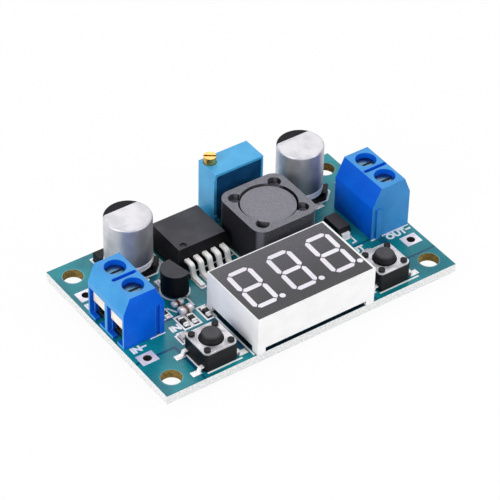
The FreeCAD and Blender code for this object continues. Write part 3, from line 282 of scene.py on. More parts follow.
BLACK = colour(8, 8, 11), colour(17, 17, 21)
DULL = 0.2
finish("black_plastic", moulded(*BLACK, gloss=0.5), Specular_IOR_Level=DULL)
finish("resistor_black", moulded(*BLACK, gloss=0.4), Specular_IOR_Level=DULL)
# tops painted lighter as lit, and edges with a painted highlight
finish("chip_epoxy",
       moulded(*BLACK, gloss=0.5, grain=0.2, depth=0.01, lit_top_colours=(colour(50, 50, 56), colour(74, 74, 80)),
               edge_highlight=colour(84, 84, 90)),
       Specular_IOR_Level=DULL)
# tops painted lighter as lit
finish("diode_epoxy",
       moulded(*BLACK, gloss=0.5, grain=0.2, depth=0.01, lit_top_colours=(colour(40, 36, 37), colour(56, 51, 52))),
       Specular_IOR_Level=DULL)
# tops painted lighter as lit
finish("plunger_black",
       moulded(colour(16, 16, 19), colour(26, 26, 30), gloss=0.5,
               lit_top_colours=(colour(56, 55, 59), colour(72, 71, 75))),
       Specular_IOR_Level=DULL)
# edges with a painted highlight
finish("trimmer_blue",
       moulded(colour(56, 160, 218), colour(76, 176, 226), gloss=0.35, grain=0.4, depth=0.004, corner=0.12,
               edge_highlight=colour(122, 204, 240)),
       Specular_IOR_Level=0.3)
finish("navy_resin",
       moulded(colour(8, 58, 100), colour(20, 82, 130), gloss=0.5, grain=0.8, depth=0.02),
       Specular_IOR_Level=DULL)
finish("display_white",
       moulded(colour(240, 240, 241), colour(248, 248, 249), grain=0.5, depth=0.003, corner=0.15))
finish("backing_resin", moulded(colour(205, 203, 190), colour(222, 220, 208), grain=1.2, depth=0.03))
finish("segment_white",
       moulded(colour(225, 220, 230), colour(238, 234, 242), gloss=0.5, grain=0.4, depth=0.003))
finish("ceramic_tan", moulded(colour(98, 62, 50), colour(132, 90, 74), gloss=0.5))
finish("light_lens", moulded(colour(176, 172, 172), colour(206, 200, 200), gloss=0.25))
print(len(finishes), "plastic finishes")

# %% [markdown]
# The terminals' blue has painted light in it. Their tops and the sides with the wire windows are painted a
# paler, greener blue as lit faces, one end wall is painted a half-lit blue, and the edges get a painted
# highlight. The other sides and the insides of the screw wells keep the deep blue. Both housings are the same
# moulding, one of them turned half round, so the pattern is written for a front that faces away from the
# middle of the board.

# %% Terminal blue with painted light
HOUSING = [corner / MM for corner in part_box("input_terminal_housing")]
WIRE_SIDE = 24.8  # the slope and the wire windows lie further than this from the board's middle
END_WALL = 4.9  # and the end walls further than this, along the board's short side


def blue_with_painted_light(place):
    x, y, z = in_millimetres(place)
    outward = (x > 0) * 2 - 1
    facing_x, facing_y, facing_up = normal()
    # painted light: lit tops, lit wire sides and a half-lit end wall
    above = fade(facing_up, 0.8, 0.95) * (z > HOUSING[1].z - 0.1) * 0.85
    in_front = fade(facing_x * outward, 0.3, 0.6) * (abs(x) > WIRE_SIDE)
    beside = fade(facing_y * outward * -1, 0.4, 0.8) * (abs(y) > END_WALL) * 0.8
    cloud, fine, tone = moulding_pattern(place, 4, 0.35)
    deep = mixed(tone, colour(0, 92, 218), colour(4, 104, 230))
    pale = mixed(tone, colour(54, 146, 214), colour(74, 162, 222))
    shaded = mixed(tone, colour(48, 136, 188), colour(66, 150, 200))
    skin = mixed(beside, mixed(above | in_front, deep, pale), shaded)
    # painted highlight along the edges
    return {"Base Color": mixed(highlight_on_edges(0.16) * 0.6, skin, colour(104, 186, 244)),
            "Roughness": moulding_sheen(0.38, cloud, fine),
            "Normal": relief(fine, 0.006, 0.15)}


finish("terminal_blue", blue_with_painted_light, Specular_IOR_Level=DULL)

# %% [markdown]
# The display's face is a dark printed film on the front of the white shell. It is smoother than a moulding,
# and it is painted paler towards the far edge as a painted sheen.

# %% Display face
def printed_film(place):
    fine = noise(place, 0.15, 3)
    cloud = noise(place, 5)
    tone = fade(fine, 0.35, 0.65)
    printed = mixed(tone, colour(40, 40, 45), colour(54, 54, 59))
    sheen_grey = mixed(tone, colour(70, 69, 75), colour(88, 87, 94))
    # painted sheen: paler towards the far edge
    far_end = fade(in_millimetres(place)[1], -16, 0)
    return {"Base Color": mixed(far_end, printed, sheen_grey),
            "Roughness": 0.45 + (cloud - 0.5) * 0.12,
            "Normal": relief(fine, 0.004, 0.04)}


finish("display_grey", printed_film, Specular_IOR_Level=0.35)

# %% [markdown]
# ## Ferrite
# The inductor's ring and drum are pressed from ferrite powder and fired. Ferrite is almost black and slightly
# grainy, with tiny pits where powder pulled away from the press. The upper faces are painted paler grey as
# lit from above, the drum's face paler than the ring's. Two of the ring's sides are painted paler as lit
# sides, and its round corners and sharp edges get a painted highlight.

# %% Ferrite
def pressed_ferrite(lit_face_colours):
    """Recipe of ferrite whose upper faces are painted as lit, in this pair of colours."""
    def recipe(place):
        powder = noise(place, 0.18, 4)
        pits = fade(noise(place, 0.45, 1), 0.32, 0.24)
        tone = fade(powder, 0.3, 0.7)
        facing_x, facing_y, facing_up = normal()
        fired = mixed(tone, colour(12, 12, 16), colour(32, 32, 37))
        # painted light: lit sides, and a painted highlight on the round corners
        lit_side_colours = mixed(tone, colour(48, 48, 53), colour(78, 78, 84))
        sides = mixed(fade(abs(facing_y), 0.5, 0.9), fired, lit_side_colours)
        corner_highlight = fade(abs(facing_x * facing_y), 0.35, 0.5)
        sides = mixed(corner_highlight * 0.6, sides, colour(120, 120, 128))
        # upper faces painted lighter as lit
        skin = mixed(fade(facing_up, 0.4, 0.8), sides, mixed(tone, *lit_face_colours))
        # painted highlight along the edges
        return {"Base Color": mixed(highlight_on_edges(0.2) * 0.8, skin, colour(158, 158, 166)),
                "Roughness": 0.58 + (powder - 0.5) * 0.25,
                "Normal": relief(powder - pits * 0.6, 0.02, 0.15)}
    return recipe


finish("ferrite", pressed_ferrite((colour(104, 104, 111), colour(132, 132, 141))), Specular_IOR_Level=DULL)
finish("ferrite_drum", pressed_ferrite((colour(118, 117, 125), colour(140, 139, 148))),
       Specular_IOR_Level=DULL)

# %% [markdown]
# ## Metals
# The button covers and leads are tinned sheet, the contacts plated brass, and the adjusting screw is turned
# brass. A metal is mostly its reflections, so what matters is roughness. Fine marks run along the way each
# was worked: along a lead, and round a can. Flux and handling leave a tinned part partly dull, which is why
# some of these are less than fully metallic.

# %% Metal finishes
def worked_metal(dark, light, rough=0.3, stretch=(1, 1, 12), metal=1.0, edge_highlight=None):
    """Recipe of a metal that was worked along one way. Given an edge colour, its edges get a painted
    highlight.
    """
    def recipe(place):
        along = Wire.node("Mapping", inputs={"Vector": place, "Scale": stretch})
        marks = noise(along, 0.6, 3)
        cloud = noise(place, 2.5)
        skin = mixed(fade(cloud, 0.35, 0.65), dark, light)
        # painted highlight along the edges
        if edge_highlight:
            skin = mixed(highlight_on_edges(0.2) * 0.8, skin, edge_highlight)
        return {"Base Color": skin,
                "Metallic": metal - fade(cloud, 0.55, 0.8) * 0.1,
                "Roughness": rough + (marks - 0.5) * 0.2 + (cloud - 0.5) * 0.12,
                "Normal": relief(marks, 0.002, 0.05)}
    return recipe


finish("tinned_copper",
       worked_metal(colour(248, 245, 243), colour(255, 253, 251), rough=0.5, stretch=(6, 6, 6), metal=0.15))
finish("pad_tin",
       worked_metal(colour(222, 215, 226), colour(242, 237, 244), rough=0.5, stretch=(6, 6, 6), metal=0.25))
# edges with a painted highlight
finish("cover_steel",
       worked_metal(colour(142, 141, 146), colour(198, 196, 200), rough=0.45, stretch=(8, 2, 8), metal=0.6,
                    edge_highlight=colour(250, 250, 252)))
finish("plated_brass",
       worked_metal(colour(150, 150, 154), colour(176, 174, 176), rough=0.22, stretch=(4, 4, 4)))
finish("guard_tin",
       worked_metal(colour(240, 226, 214), colour(252, 242, 232), rough=0.45, stretch=(4, 4, 4), metal=0.4))
finish("adjuster_brass",
       worked_metal(colour(196, 150, 78), colour(220, 176, 104), rough=0.34, stretch=(1, 1, 8)))
finish("copper_wire",
       worked_metal(colour(176, 96, 52), colour(200, 120, 70), rough=0.35, stretch=(1, 1, 20)))
print(len(finishes), "finishes so far")

# %% [markdown]
# A clamp screw is zinc-plated, and its blue-grey is partly the plating and partly a painted reflection of the
# blue housing. Its slot and shank are painted a dull grey that lightens their shade. They have no finish of
# their own, so the recipe tells them by their height: they are what lies below the top of the head.

# %% The clamp screws' finish
HEAD_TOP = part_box("input_front_clamp_screw")[1].z / MM
# blue-grey: plating with a painted reflection of the blue housing
plating_with_painted_reflection = worked_metal(colour(56, 82, 100), colour(88, 118, 136), rough=0.26, stretch=(4, 4, 4))


def screw_with_painted_fill(place):
    sockets = plating_with_painted_reflection(place)
    # painted fill light in the slot and shank
    painted_fill = in_millimetres(place)[2] < HEAD_TOP - 0.1
    sockets["Base Color"] = mixed(painted_fill, sockets["Base Color"], colour(84, 104, 116))
    sockets["Metallic"] = sockets["Metallic"] * (1 - painted_fill)
    return sockets


finish("plated_steel", screw_with_painted_fill)

# %% [markdown]
# The cans are satin aluminium, and their lids have a dull lacquer. The drawn wall is painted greyer on one
# side as shade, most of all low down. Below the groove a painted highlight makes it bright white, down to the
# crimp over the base, which is painted dark as shade. A black segment marks the negative lead. It is ink,
# printed over the crown as far as the rim, so it belongs to the can's own finish: black wherever the can is
# high and past a chord of its lid. The two cans stand at slightly different places, so the chord is measured
# from each can's own middle.

# %% The cans' finish
CAN_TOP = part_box("input_capacitor_can")[1].z / MM
CAN_GROOVE = TOP + 2.3
CAN_CRIMP = TOP + 1.35
INPUT_CAN_Y, OUTPUT_CAN_Y = 11.75, 11.6
INK_CHORD = 2.05  # distance of the ink's straight side from the can's middle
INK_REACH = 0.42  # how far the ink comes down from the top of the can
# painted shade falls on the side of the wall that faces this way
SHADED_SIDE_WAY = (0.81, -0.59)  # the way that the grey side faces, along the board's two sides
bare_can = worked_metal(colour(198, 197, 202), colour(218, 216, 221), rough=0.42, metal=0.7)


def printed_can(place):
    sockets = bare_can(place)
    x, y, z = in_millimetres(place)
    middle = (x < 0) * (INPUT_CAN_Y - OUTPUT_CAN_Y) + OUTPUT_CAN_Y
    inked = (z > CAN_TOP - INK_REACH) & (y - middle > INK_CHORD)
    facing_x, facing_y, facing_up = normal()
    lid = fade(facing_up, 0.5, 0.9)
    turned = facing_x * SHADED_SIDE_WAY[0] + facing_y * SHADED_SIDE_WAY[1]
    # painted shade on one side of the drawn wall
    painted_side_shade = fade(turned, -0.1, 0.7) * (1 - fade(turned, 0.75, 0.97) * 0.7) * (1 - lid)
    # painted shade on the crimp
    painted_crimp_shade = z < CAN_CRIMP
    # painted highlight between the crimp and the groove
    painted_foot_highlight = (z < CAN_GROOVE) & (z > CAN_CRIMP)
    # the painted shade is greater low down
    painted_wall_shade = painted_side_shade * (fade(z, 7.5, 4.5) * 0.4 + 0.5)
    skin = mixed(painted_wall_shade, sockets["Base Color"], colour(104, 104, 112))
    skin = mixed(painted_crimp_shade, mixed(painted_foot_highlight, skin, colour(253, 252, 253)), colour(56, 56, 61))
    sockets["Base Color"] = mixed(inked, skin, colour(22, 21, 24))
    sockets["Metallic"] = sockets["Metallic"] * (1 - inked) * (1 - lid * 0.6) * (1 - painted_foot_highlight * 0.9)
    sockets["Roughness"] = sockets["Roughness"] + lid * 0.1
    return sockets


finish("can_aluminium", printed_can, Specular_IOR_Level=0.1)

# %% [markdown]
# Solder is tin that froze quickly. It is bright where it is smooth and whitish where flux was left on it,
# and it has soft dents rather than a grain.

# %% Solder
def frozen_solder(place):
    dents = noise(place, 0.5, 2)
    flux = fade(noise(place, 0.9, 3), 0.45, 0.62)
    return {"Base Color": mixed(flux, colour(230, 227, 230), colour(250, 245, 247)),
            "Metallic": 0.4 - flux * 0.25,
            "Roughness": 0.3 + flux * 0.25,
            "Normal": relief(dents, 0.04, 0.05)}


finish("solder", frozen_solder)

# %% [markdown]
# ## The board
# A circuit board is glass cloth in epoxy with copper foil on it and a glossy solder mask over all. The mask
# looks paler over copper, so the copper areas show through as patches with a fine step at their edges. The
# patches are boxes on the board, given by their west, east, south and north ends in millimetres, and one
# formula joins them. Painted shadows darken the mask behind the regulator's leads, beneath the display and
# round the small chips. The mask is paler towards the far corner. The board's cut edges are pale glass and
# resin, the walls of the mounting holes are brown, and those of the small holes are painted dark as shade.

# %% Board finish
HOLE_X, HOLE_Y = 25, 14.25  # middles of the four mounting holes, either way from the board's middle
HOLE_RADIUS = 1.7
COPPER_ABOVE = [
    (-28.0, -21.0, -17.5, -9.1), (-28.0, -19.3, -8.6, -3.4), (-28.0, -18.8, -3.0, 17.5),
    (-20.6, -12.9, -11.0, -3.2), (-18.9, 12.0, -17.5, -14.8), (-20.6, -13.3, -17.5, -15.2),
    (-18.4, -12.9, -2.8, 3.6), (-12.6, 0.4, -3.2, 5.0), (12.3, 28.0, -4.6, 17.5), (12.3, 21.2, -11.8, -5.0),
    (-18.4, 12.0, 5.2, 17.5), (22.4, 28.0, -11.8, -5.0), (12.3, 28.0, -17.5, -12.2),
]
COPPER_BELOW = [
    (-27.4, -6.2, -17.0, -6.0), (-27.4, -12.0, -5.4, 16.9), (-11.2, 11.4, -4.6, 16.9),
    (-5.4, 14.8, -17.0, -5.4), (12.2, 27.4, -4.8, 16.9), (15.6, 27.4, -17.0, -5.6),
]
# boxes of painted shadow on the board
PAINTED_SHADOW_BOXES = [
    (-10.2, -1.4, 3.2, 5.4), (-11.3, 11.3, -17.6, -3.7), (-17.1, -15.8, -6.3, -3.3),
    (-15.5, -14.1, -6.3, -3.3), (-12.9, -11.4, -6.3, -3.3), (-18.6, -17.2, -2.6, -0.6),
    (-19.3, -17.5, -8.9, -6.9), (-14.7, -12.6, 4.4, 5.8),
]


def patches(x, y, boxes):
    """1 inside any of the boxes and 0 outside them."""
    inside = 0
    for west, east, south, north in boxes:
        within_x = abs(x - (west + east) / 2) < (east - west) / 2
        within_y = abs(y - (south + north) / 2) < (north - south) / 2
        inside = (within_x & within_y) | inside
    return inside


def solder_mask(place):
    x, y, z = in_millimetres(place)
    flat = abs(normal()[2]) > 0.5
    above = z > TOP / 2
    from_hole_x = abs(x) - HOLE_X
    from_hole_y = abs(y) - HOLE_Y
    from_hole = (from_hole_x * from_hole_x + from_hole_y * from_hole_y).maths("SQRT")
    copper = patches(x, y, COPPER_ABOVE) * above + patches(x, y, COPPER_BELOW) * (1 - above)
    cloud = noise(place, 6)
    weave = noise(place, 0.5, 2)
    bare = mixed(fade(cloud, 0.3, 0.7), colour(0, 70, 102), colour(0, 84, 116))
    coppered = mixed(fade(cloud, 0.3, 0.7), colour(0, 108, 124), colour(10, 138, 148))
    pale_corner = fade(x + y, 6, 44) * 0.55
    # painted shadows
    painted_shadow = patches(x, y, PAINTED_SHADOW_BOXES) * above
    worn_rim = (from_hole < HOLE_RADIUS + 0.15) * 0.35
    mask = mixed(copper, bare, coppered)
    mask = mixed(pale_corner, mask, colour(58, 168, 174))
    mask = mixed(painted_shadow, mask, colour(0, 34, 48))
    mask = mixed(worn_rim, mask, colour(150, 190, 190))
    glass = mixed(fade(noise(place, 0.35, 3), 0.4, 0.6), colour(220, 221, 222), colour(240, 241, 241))
    brown = mixed(fade(weave, 0.35, 0.65), colour(120, 98, 48), colour(160, 134, 72))
    # painted shade on the walls of the small holes
    bore = mixed(from_hole < HOLE_RADIUS + 0.2, colour(40, 38, 36), brown)
    outer = (abs(x) > BOARD[1].x - 0.1) | (abs(y) > BOARD[1].y - 0.1)
    wall = mixed(outer, bore, glass)
    return {"Base Color": mixed(flat, wall, mask),
            "Roughness": flat * -0.4 + 0.68 + (weave - 0.5) * 0.08,
            "Normal": relief(copper + weave * 0.1 * flat, 0.03, 0.08)}


finish("board_mask", solder_mask, Specular_IOR_Level=DULL)


def silk_ink(place):
    grain = noise(place, 0.25, 2)
    return {"Base Color": mixed(fade(grain, 0.3, 0.7), colour(248, 248, 248), colour(254, 254, 254)),
            "Roughness": 0.55 + (grain - 0.5) * 0.2,
            "Normal": relief(grain, 0.004, 0.02)}


finish("silk_ink", silk_ink)
print(len(finishes), "finishes in all")

# %% [markdown]
# ## Finishes on the CAD pieces
# Each CAD piece keeps its shape and takes the finish of its own material slot. A few pieces share a slot
# with others but look different, such as the plungers among the black mouldings, so they are named here.

# %% Dress the CAD pieces
slots = {part["node"]: part["material_slot"] for part in frame["record"]["subparts"]}
own_look = {"plunger": "plunger_black", "guard": "guard_tin", "diode_body": "diode_epoxy",
            "inductor_core": "ferrite_drum", "dome": "cover_steel"}
for name, piece in frame["nodes"].items():
    chosen = next((look for ending, look in own_look.items() if name.endswith(ending)), slots[name])
    piece.data.materials.clear()
    piece.data.materials.append(finishes[chosen])
print(len(slots), "CAD pieces dressed")

# %% [markdown]
# ## Working by hand, in code
# The pieces below are modelled as by hand. A primitive is added at its size and place, shaped in edit
# mode, and joined to its fellows. Everything is deselected first, since an operator acts on all that is
# selected. A finished piece has its place in its mesh, rides on a body of the model, and names its slot.

# %% Modelling helpers
def only(*chosen):
    """Select these objects and no others."""
    bpy.ops.object.select_all(action="DESELECT")
    for one in chosen:
        one.select_set(True)
    bpy.context.view_layer.objects.active = chosen[0]


def tile(x, y, z, corner=0.02, steps=1):
    """Block between two ends along each axis, in millimetres, with all its edges rounded."""
    bpy.ops.object.select_all(action="DESELECT")
    ends = (x, y, z)
    bpy.ops.mesh.primitive_cube_add(size=1, location=[sum(pair) / 2 * MM for pair in ends],
                                    scale=[(pair[1] - pair[0]) * MM for pair in ends])
    bpy.ops.object.transform_apply(location=True, rotation=True, scale=True)
    bpy.ops.object.mode_set(mode="EDIT")
    bpy.ops.mesh.select_all(action="SELECT")
    bpy.ops.mesh.bevel(offset=corner * MM, segments=steps, affect="EDGES")
    bpy.ops.object.mode_set(mode="OBJECT")
    return bpy.context.object


def copy_to(model, x, y, turn=0, size=1):
    """Copy of a model with its own mesh, scaled, turned in degrees and moved in millimetres."""
    one = bpy.data.objects.new(model.name, model.data.copy())
    bpy.context.scene.collection.objects.link(one)
    place = Matrix.Translation(Vector((x, y, 0)) * MM)
    turned = Matrix.Rotation(math.radians(turn), 4, "Z")
    one.data.transform(place @ turned @ Matrix.Scale(size, 4))
    return one


def settle(parts, name, look, body="board", smooth=40):
    """Join parts into one piece, smooth its edges below an angle, give it a finish and a body to ride on."""
    only(*parts)
    if len(parts) > 1:
        bpy.ops.object.join()
    piece = bpy.context.object
    bpy.ops.object.transform_apply(location=True, rotation=True, scale=True)
    bpy.ops.object.shade_smooth_by_angle(angle=math.radians(smooth))
    piece.name = piece.data.name = name
    piece.data.materials.clear()
    piece.data.materials.append(finishes[look])
    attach(piece, body)
    print(name, "has", len(piece.data.polygons), "faces")


# %% [markdown]
# ## Silkscreen
# The white lines and words on the board are ink, pressed through a fine screen and about three hundredths of
# a millimetre thick. They could be painted in the board's shader, but as thin mesh they stay crisp at any
# distance. A frame is a plane, inset, with its middle taken out, and given its thickness by an extrude. Bars
# and frames are given by their west, east, south and north ends.

# %% Silkscreen
INK_DEPTH = 0.03
LINE = 0.31  # width of the line round a part
FONT_SIZE = 1.38  # size of the font beside the height of its capitals


def bar(west, east, south, north):
    """Straight line of ink between its ends."""
    return tile((west, east), (south, north), (TOP, TOP + INK_DEPTH), corner=0.01)


def keep_rim():
    """Turn the flat mesh in edit mode into a line along its rim, as thick as ink."""
    bpy.ops.mesh.select_mode(type="FACE")
    bpy.ops.mesh.select_all(action="SELECT")
    bpy.ops.mesh.inset(thickness=LINE * MM)
    bpy.ops.mesh.delete(type="FACE")
    bpy.ops.mesh.select_all(action="SELECT")
    bpy.ops.mesh.extrude_region_move(TRANSFORM_OT_translate={"value": (0, 0, INK_DEPTH * MM)})
    bpy.ops.mesh.select_all(action="SELECT")
    bpy.ops.mesh.normals_make_consistent(inside=False)
    bpy.ops.object.mode_set(mode="OBJECT")


def frame_of_ink(west, east, south, north, clipped=0):
    """Line round a box. With a clipped size its two front corners are cut off."""
    middle = Vector(((west + east) / 2, (south + north) / 2, TOP)) * MM
    bpy.ops.object.select_all(action="DESELECT")
    bpy.ops.mesh.primitive_plane_add(size=1, location=middle)
    made = bpy.context.object
    made.scale = ((east - west) * MM, (north - south) * MM, 1)
    bpy.ops.object.transform_apply(location=True, rotation=True, scale=True)
    bpy.ops.object.mode_set(mode="EDIT")
    if clipped:
        bpy.ops.mesh.select_mode(type="VERT")
        bpy.ops.mesh.select_all(action="DESELECT")
        bpy.ops.object.mode_set(mode="OBJECT")
        for point in made.data.vertices:
            point.select = point.co.y < middle.y
        bpy.ops.object.mode_set(mode="EDIT")
        bpy.ops.mesh.bevel(offset=clipped * MM, segments=1, affect="VERTICES")
    keep_rim()
    return made


def ring_of_ink(x, y, radius):
    """Line round a disc."""
    bpy.ops.object.select_all(action="DESELECT")
    bpy.ops.mesh.primitive_circle_add(vertices=48, radius=radius * MM, fill_type="NGON",
                                      location=Vector((x, y, TOP)) * MM)
    made = bpy.context.object
    bpy.ops.object.transform_apply(location=True, rotation=True, scale=True)
    bpy.ops.object.mode_set(mode="EDIT")
    keep_rim()
    return made


def slanted_bar(x, y, length, turn):
    """Line of ink about a place, turned in degrees."""
    model = bar(-length / 2, length / 2, -0.15, 0.15)
    made = copy_to(model, x, y, turn=turn)
    bpy.data.objects.remove(model)
    return made


def word(text, x, y, height):
    """Printed word about its middle, with capitals of this height, turned into a mesh."""
    bpy.ops.object.select_all(action="DESELECT")
    bpy.ops.object.text_add(location=Vector((x, y, TOP + INK_DEPTH / 2)) * MM)
    made = bpy.context.object
    made.data.body = text
    made.data.size = height * FONT_SIZE * MM
    made.data.align_x, made.data.align_y = "CENTER", "CENTER"
    made.data.extrude = INK_DEPTH / 2 * MM
    made.data.offset = 0.1 * MM  # makes the strokes bolder
    made.data.resolution_u = 3
    bpy.ops.object.convert(target="MESH")
    bpy.ops.object.mode_set(mode="EDIT")
    bpy.ops.mesh.select_all(action="SELECT")
    bpy.ops.mesh.remove_doubles(threshold=1e-7)
    bpy.ops.mesh.normals_make_consistent(inside=False)
    bpy.ops.object.mode_set(mode="OBJECT")
    bpy.ops.object.transform_apply(location=True, rotation=True, scale=True)
    return made


BARS = [
    (-22.9, -20.1, -5.3, -5.0), (22.3, 27.7, -5.36, -5.09), (20.1, 21.0, -5.42, -5.12),
    (-12.9, -12.6, -2.3, 0.2), (-11.35, -11.05, 8.7, 12.3), (-0.37, -0.04, 3.3, 7.4),
    (-10.2, -0.4, 4.35, 4.63), (17.85, 18.15, -4.1, -1.9), (-11.7, -11.4, -17.2, -3.7),
    (-11.7, 11.6, -3.62, -3.36), (-20.44, -20.14, -14.6, -11.2), (-19.9, -13.4, -16.8, -16.5),
    (13.4, 21.2, -16.62, -16.32), (17.2, 17.8, -4.15, -3.87),
]
SMALL_PART_FRAMES = [
    (-19.5, -17.35, -9.15, -6.7), (16.7, 18.9, -9.15, -6.75), (-17.35, -15.6, -6.55, -3.05),
    (-15.65, -13.95, -6.55, -3.05), (-13.1, -11.25, -6.55, -3.05), (-18.8, -17.0, -2.8, -0.35),
    (-14.9, -12.45, 4.2, 6.0),
]
CAN_FRAMES = [(-20.6, -11.45, 7.3, 16.35), (13.1, 22.25, 7.1, 16.15)]
WORDS = [
    ("IN−", -25.6, -6.1, 1.25), ("OUT−", 25.1, -6.15, 1.3), ("IN", -18.3, -5.3, 1.3),
    ("OUT", 16.3, -5.9, 1.3), ("IN+", -25.9, 6.6, 1.25), ("OUT+", 24.6, 6.6, 1.25),
]

ink = [bar(*ends) for ends in BARS]
ink += [slanted_bar(-16.4, -1.4, 1.9, -62.7), ring_of_ink(-13.35, 2.3, 2.5)]
ink += [frame_of_ink(*ends) for ends in SMALL_PART_FRAMES]
ink += [frame_of_ink(*ends, clipped=1.8) for ends in CAN_FRAMES]
ink += [word(*label) for label in WORDS]
settle(ink, "silkscreen", "silk_ink")

# %% [markdown]
# ## Tinned pads and solder
# Bare copper on the board is tinned. Each wire hole has a wide pad on both sides, and under each lead lies
# a small cushion of solder. The pad is a thin block with a hole drilled by a Boolean, as a drill makes the
# real one. The cushion is one block with well rounded edges, given by its middle, length, width and height.
# Where a part has one at each end, the reach from the part's middle comes before these.

# %% Wire pads
WIRE_PADS = [(side * 25.7, y) for side in (-1, 1) for y in (-8.6, 9.2)]
PLATE = 0.06  # thickness of a pad
DRILL_RADIUS = 0.72


def drilled_pad(z):
    """Pad about the origin with the wire hole through it."""
    pad = tile((-1.5, 1.5), (-1.22, 1.22), z)
    bpy.ops.object.select_all(action="DESELECT")
    bpy.ops.mesh.primitive_cylinder_add(vertices=40, radius=DRILL_RADIUS * MM, depth=8 * MM)
    drill = bpy.context.object
    only(pad)
    cut = pad.modifiers.new("Hole", "BOOLEAN")
    cut.object = drill
    cut.solver = "EXACT"
    bpy.ops.object.modifier_apply(modifier="Hole")
    bpy.data.objects.remove(drill)
    return pad


pad_models = [drilled_pad((TOP, TOP + PLATE)), drilled_pad((-PLATE, 0))]
pads = [copy_to(model, x, y) for model in pad_models for x, y in WIRE_PADS]
for model in pad_models:
    bpy.data.objects.remove(model)
settle(pads, "wire_pads", "pad_tin")


# %% Solder cushions above the board
def cushion(x, y, length, width, height=0.1):
    """Soft mound of solder about a place, lying on the board."""
    ends_x = (x - length / 2, x + length / 2)
    ends_y = (y - width / 2, y + width / 2)
    return tile(ends_x, ends_y, (TOP, TOP + height), corner=height * 0.45, steps=3)


REGULATOR_LEADS = [(-9.1 + row * 1.7, 1.75, 1.15, 3.2) for row in range(5)]
BUTTON_LEGS = [(x + side * 4.3, y + step, 1.7, 1.1) for x, y in ((-17.1, -13.4), (16.55, -13.2))
               for side in (-1, 1) for step in (-2.25, 2.25)]
CAN_LEADS = [(-16, 16.2, 1.6, 1.5), (-16, 7.3, 1.6, 1.5), (17.65, 16.05, 1.6, 1.5), (17.9, 7.0, 2.4, 1.7)]
DIODE_LEADS = [(16.9, 1.9, 1.9, 1.5), (16.9, -2.1, 1.9, 1.5)]
CHIPS_ALONG_Y = [(x, y, 0.95, 0.8, 0.55, 0.25)
                 for x, y in ((-16.45, -4.8), (-14.85, -4.8), (-12.15, -4.7), (-17.9, -1.6))]
CHIPS_ALONG_X = [(-13.7, 5.15, 0.78, 0.36, 0.9, 0.35), (-14.95, -0.85, 0.6, 0.98, 1.25, 0.92),
                 (-14.65, -2.8, 0.73, 1.25, 1.6, 0.98)]
LIGHTS = [(-18.4, -7.9, 1.0, 1.3, 0.8, 0.16), (17.8, -7.95, 1.0, 1.3, 0.8, 0.16)]
INDUCTOR_CLIPS = [(6.1, 4.3, 6.1, 5.6, 1.8, 0.12)]

mounds = [cushion(*sizes) for sizes in REGULATOR_LEADS + BUTTON_LEGS + CAN_LEADS + DIODE_LEADS]
for x, y, reach, *sizes in CHIPS_ALONG_Y:
    mounds += [cushion(x, y + side * reach, *sizes) for side in (-1, 1)]
for x, y, reach, *sizes in CHIPS_ALONG_X:
    mounds += [cushion(x + side * reach, y, *sizes) for side in (-1, 1)]
for x, y, reach, *sizes in LIGHTS + INDUCTOR_CLIPS:
    mounds += [cushion(x, y + side * reach, *sizes) for side in (-1, 1)]
settle(mounds, "solder_cushions", "solder")

# %% [markdown]
# Under the board each pin stands in a cone of solder. Its sides are hollow, because molten solder climbs a
# wire and thins as it goes. The cone starts as a disc that is extruded and narrowed in steps. Each pin is
# given by its place and by the size of its cone beside the model.

# %% Solder cones under the board
def cone_model():
    """Hollow-sided cone that hangs from the origin."""
    bpy.ops.object.select_all(action="DESELECT")
    bpy.ops.mesh.primitive_circle_add(vertices=20, radius=0.85 * MM, fill_type="NGON")
    bpy.ops.object.mode_set(mode="EDIT")
    bpy.ops.mesh.select_all(action="SELECT")
    for drop, narrow in ((0.06, 1.0), (0.2, 0.68), (0.3, 0.72), (0.34, 0.8)):
        bpy.ops.mesh.extrude_region_move(TRANSFORM_OT_translate={"value": (0, 0, -drop * MM)})
        bpy.ops.transform.resize(value=(narrow, narrow, 1))
    bpy.ops.mesh.select_all(action="SELECT")
    bpy.ops.mesh.normals_make_consistent(inside=False)
    bpy.ops.object.mode_set(mode="OBJECT")
    return bpy.context.object


PITCH = 2.54  # distance between the pins of most parts, a tenth of an inch
TRANSISTOR_TURN = math.radians(12)

cone = cone_model()
terminal_pins = [(side * 24.3, step, 1.5) for side in (-1, 1) for step in (-PITCH, PITCH)]
display_pins = [((n - 2.5) * PITCH, -10.65 + side * PITCH * 2, 1)
                for side, count in ((-1, 6), (1, 5)) for n in range(count)]
trimmer_pins = [(6.2 + n * PITCH, 13.675, 1) for n in (-1, 0, 1)]
transistor_pins = [(-13.2 - n * PITCH / 2 * math.sin(TRANSISTOR_TURN),
                    2.4 + n * PITCH / 2 * math.cos(TRANSISTOR_TURN), 0.68) for n in (-1, 0, 1)]
cones = [copy_to(cone, x, y, size=size)
         for x, y, size in terminal_pins + display_pins + trimmer_pins + transistor_pins]
bpy.data.objects.remove(cone)
settle(cones, "solder_cones", "solder")

# %% [markdown]
# ## Snap domes
# Under each plunger lies a thin steel dome that snaps flat when the button is pressed. A stiff copy would cut
# through the plunger at the low end. A copy of the CAD dome, with its own mesh, stands for it and rides on
# the board, and the CAD dome is hidden.

# %% Snap domes
for side in ("left", "right"):
    stiff = frame["nodes"][f"{side}_button_dome"]
    low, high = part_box(stiff.name)
    snapping = bpy.data.objects.new(f"{side}_snap_dome", stiff.data.copy())
    bpy.context.scene.collection.objects.link(snapping)
    snapping.data.transform(stiff.matrix_world)
    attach(snapping, "board")
    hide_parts(stiff.name)
    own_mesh(snapping)
    print(snapping.name, "is", round((high.z - low.z) / MM, 2), "mm high at rest")

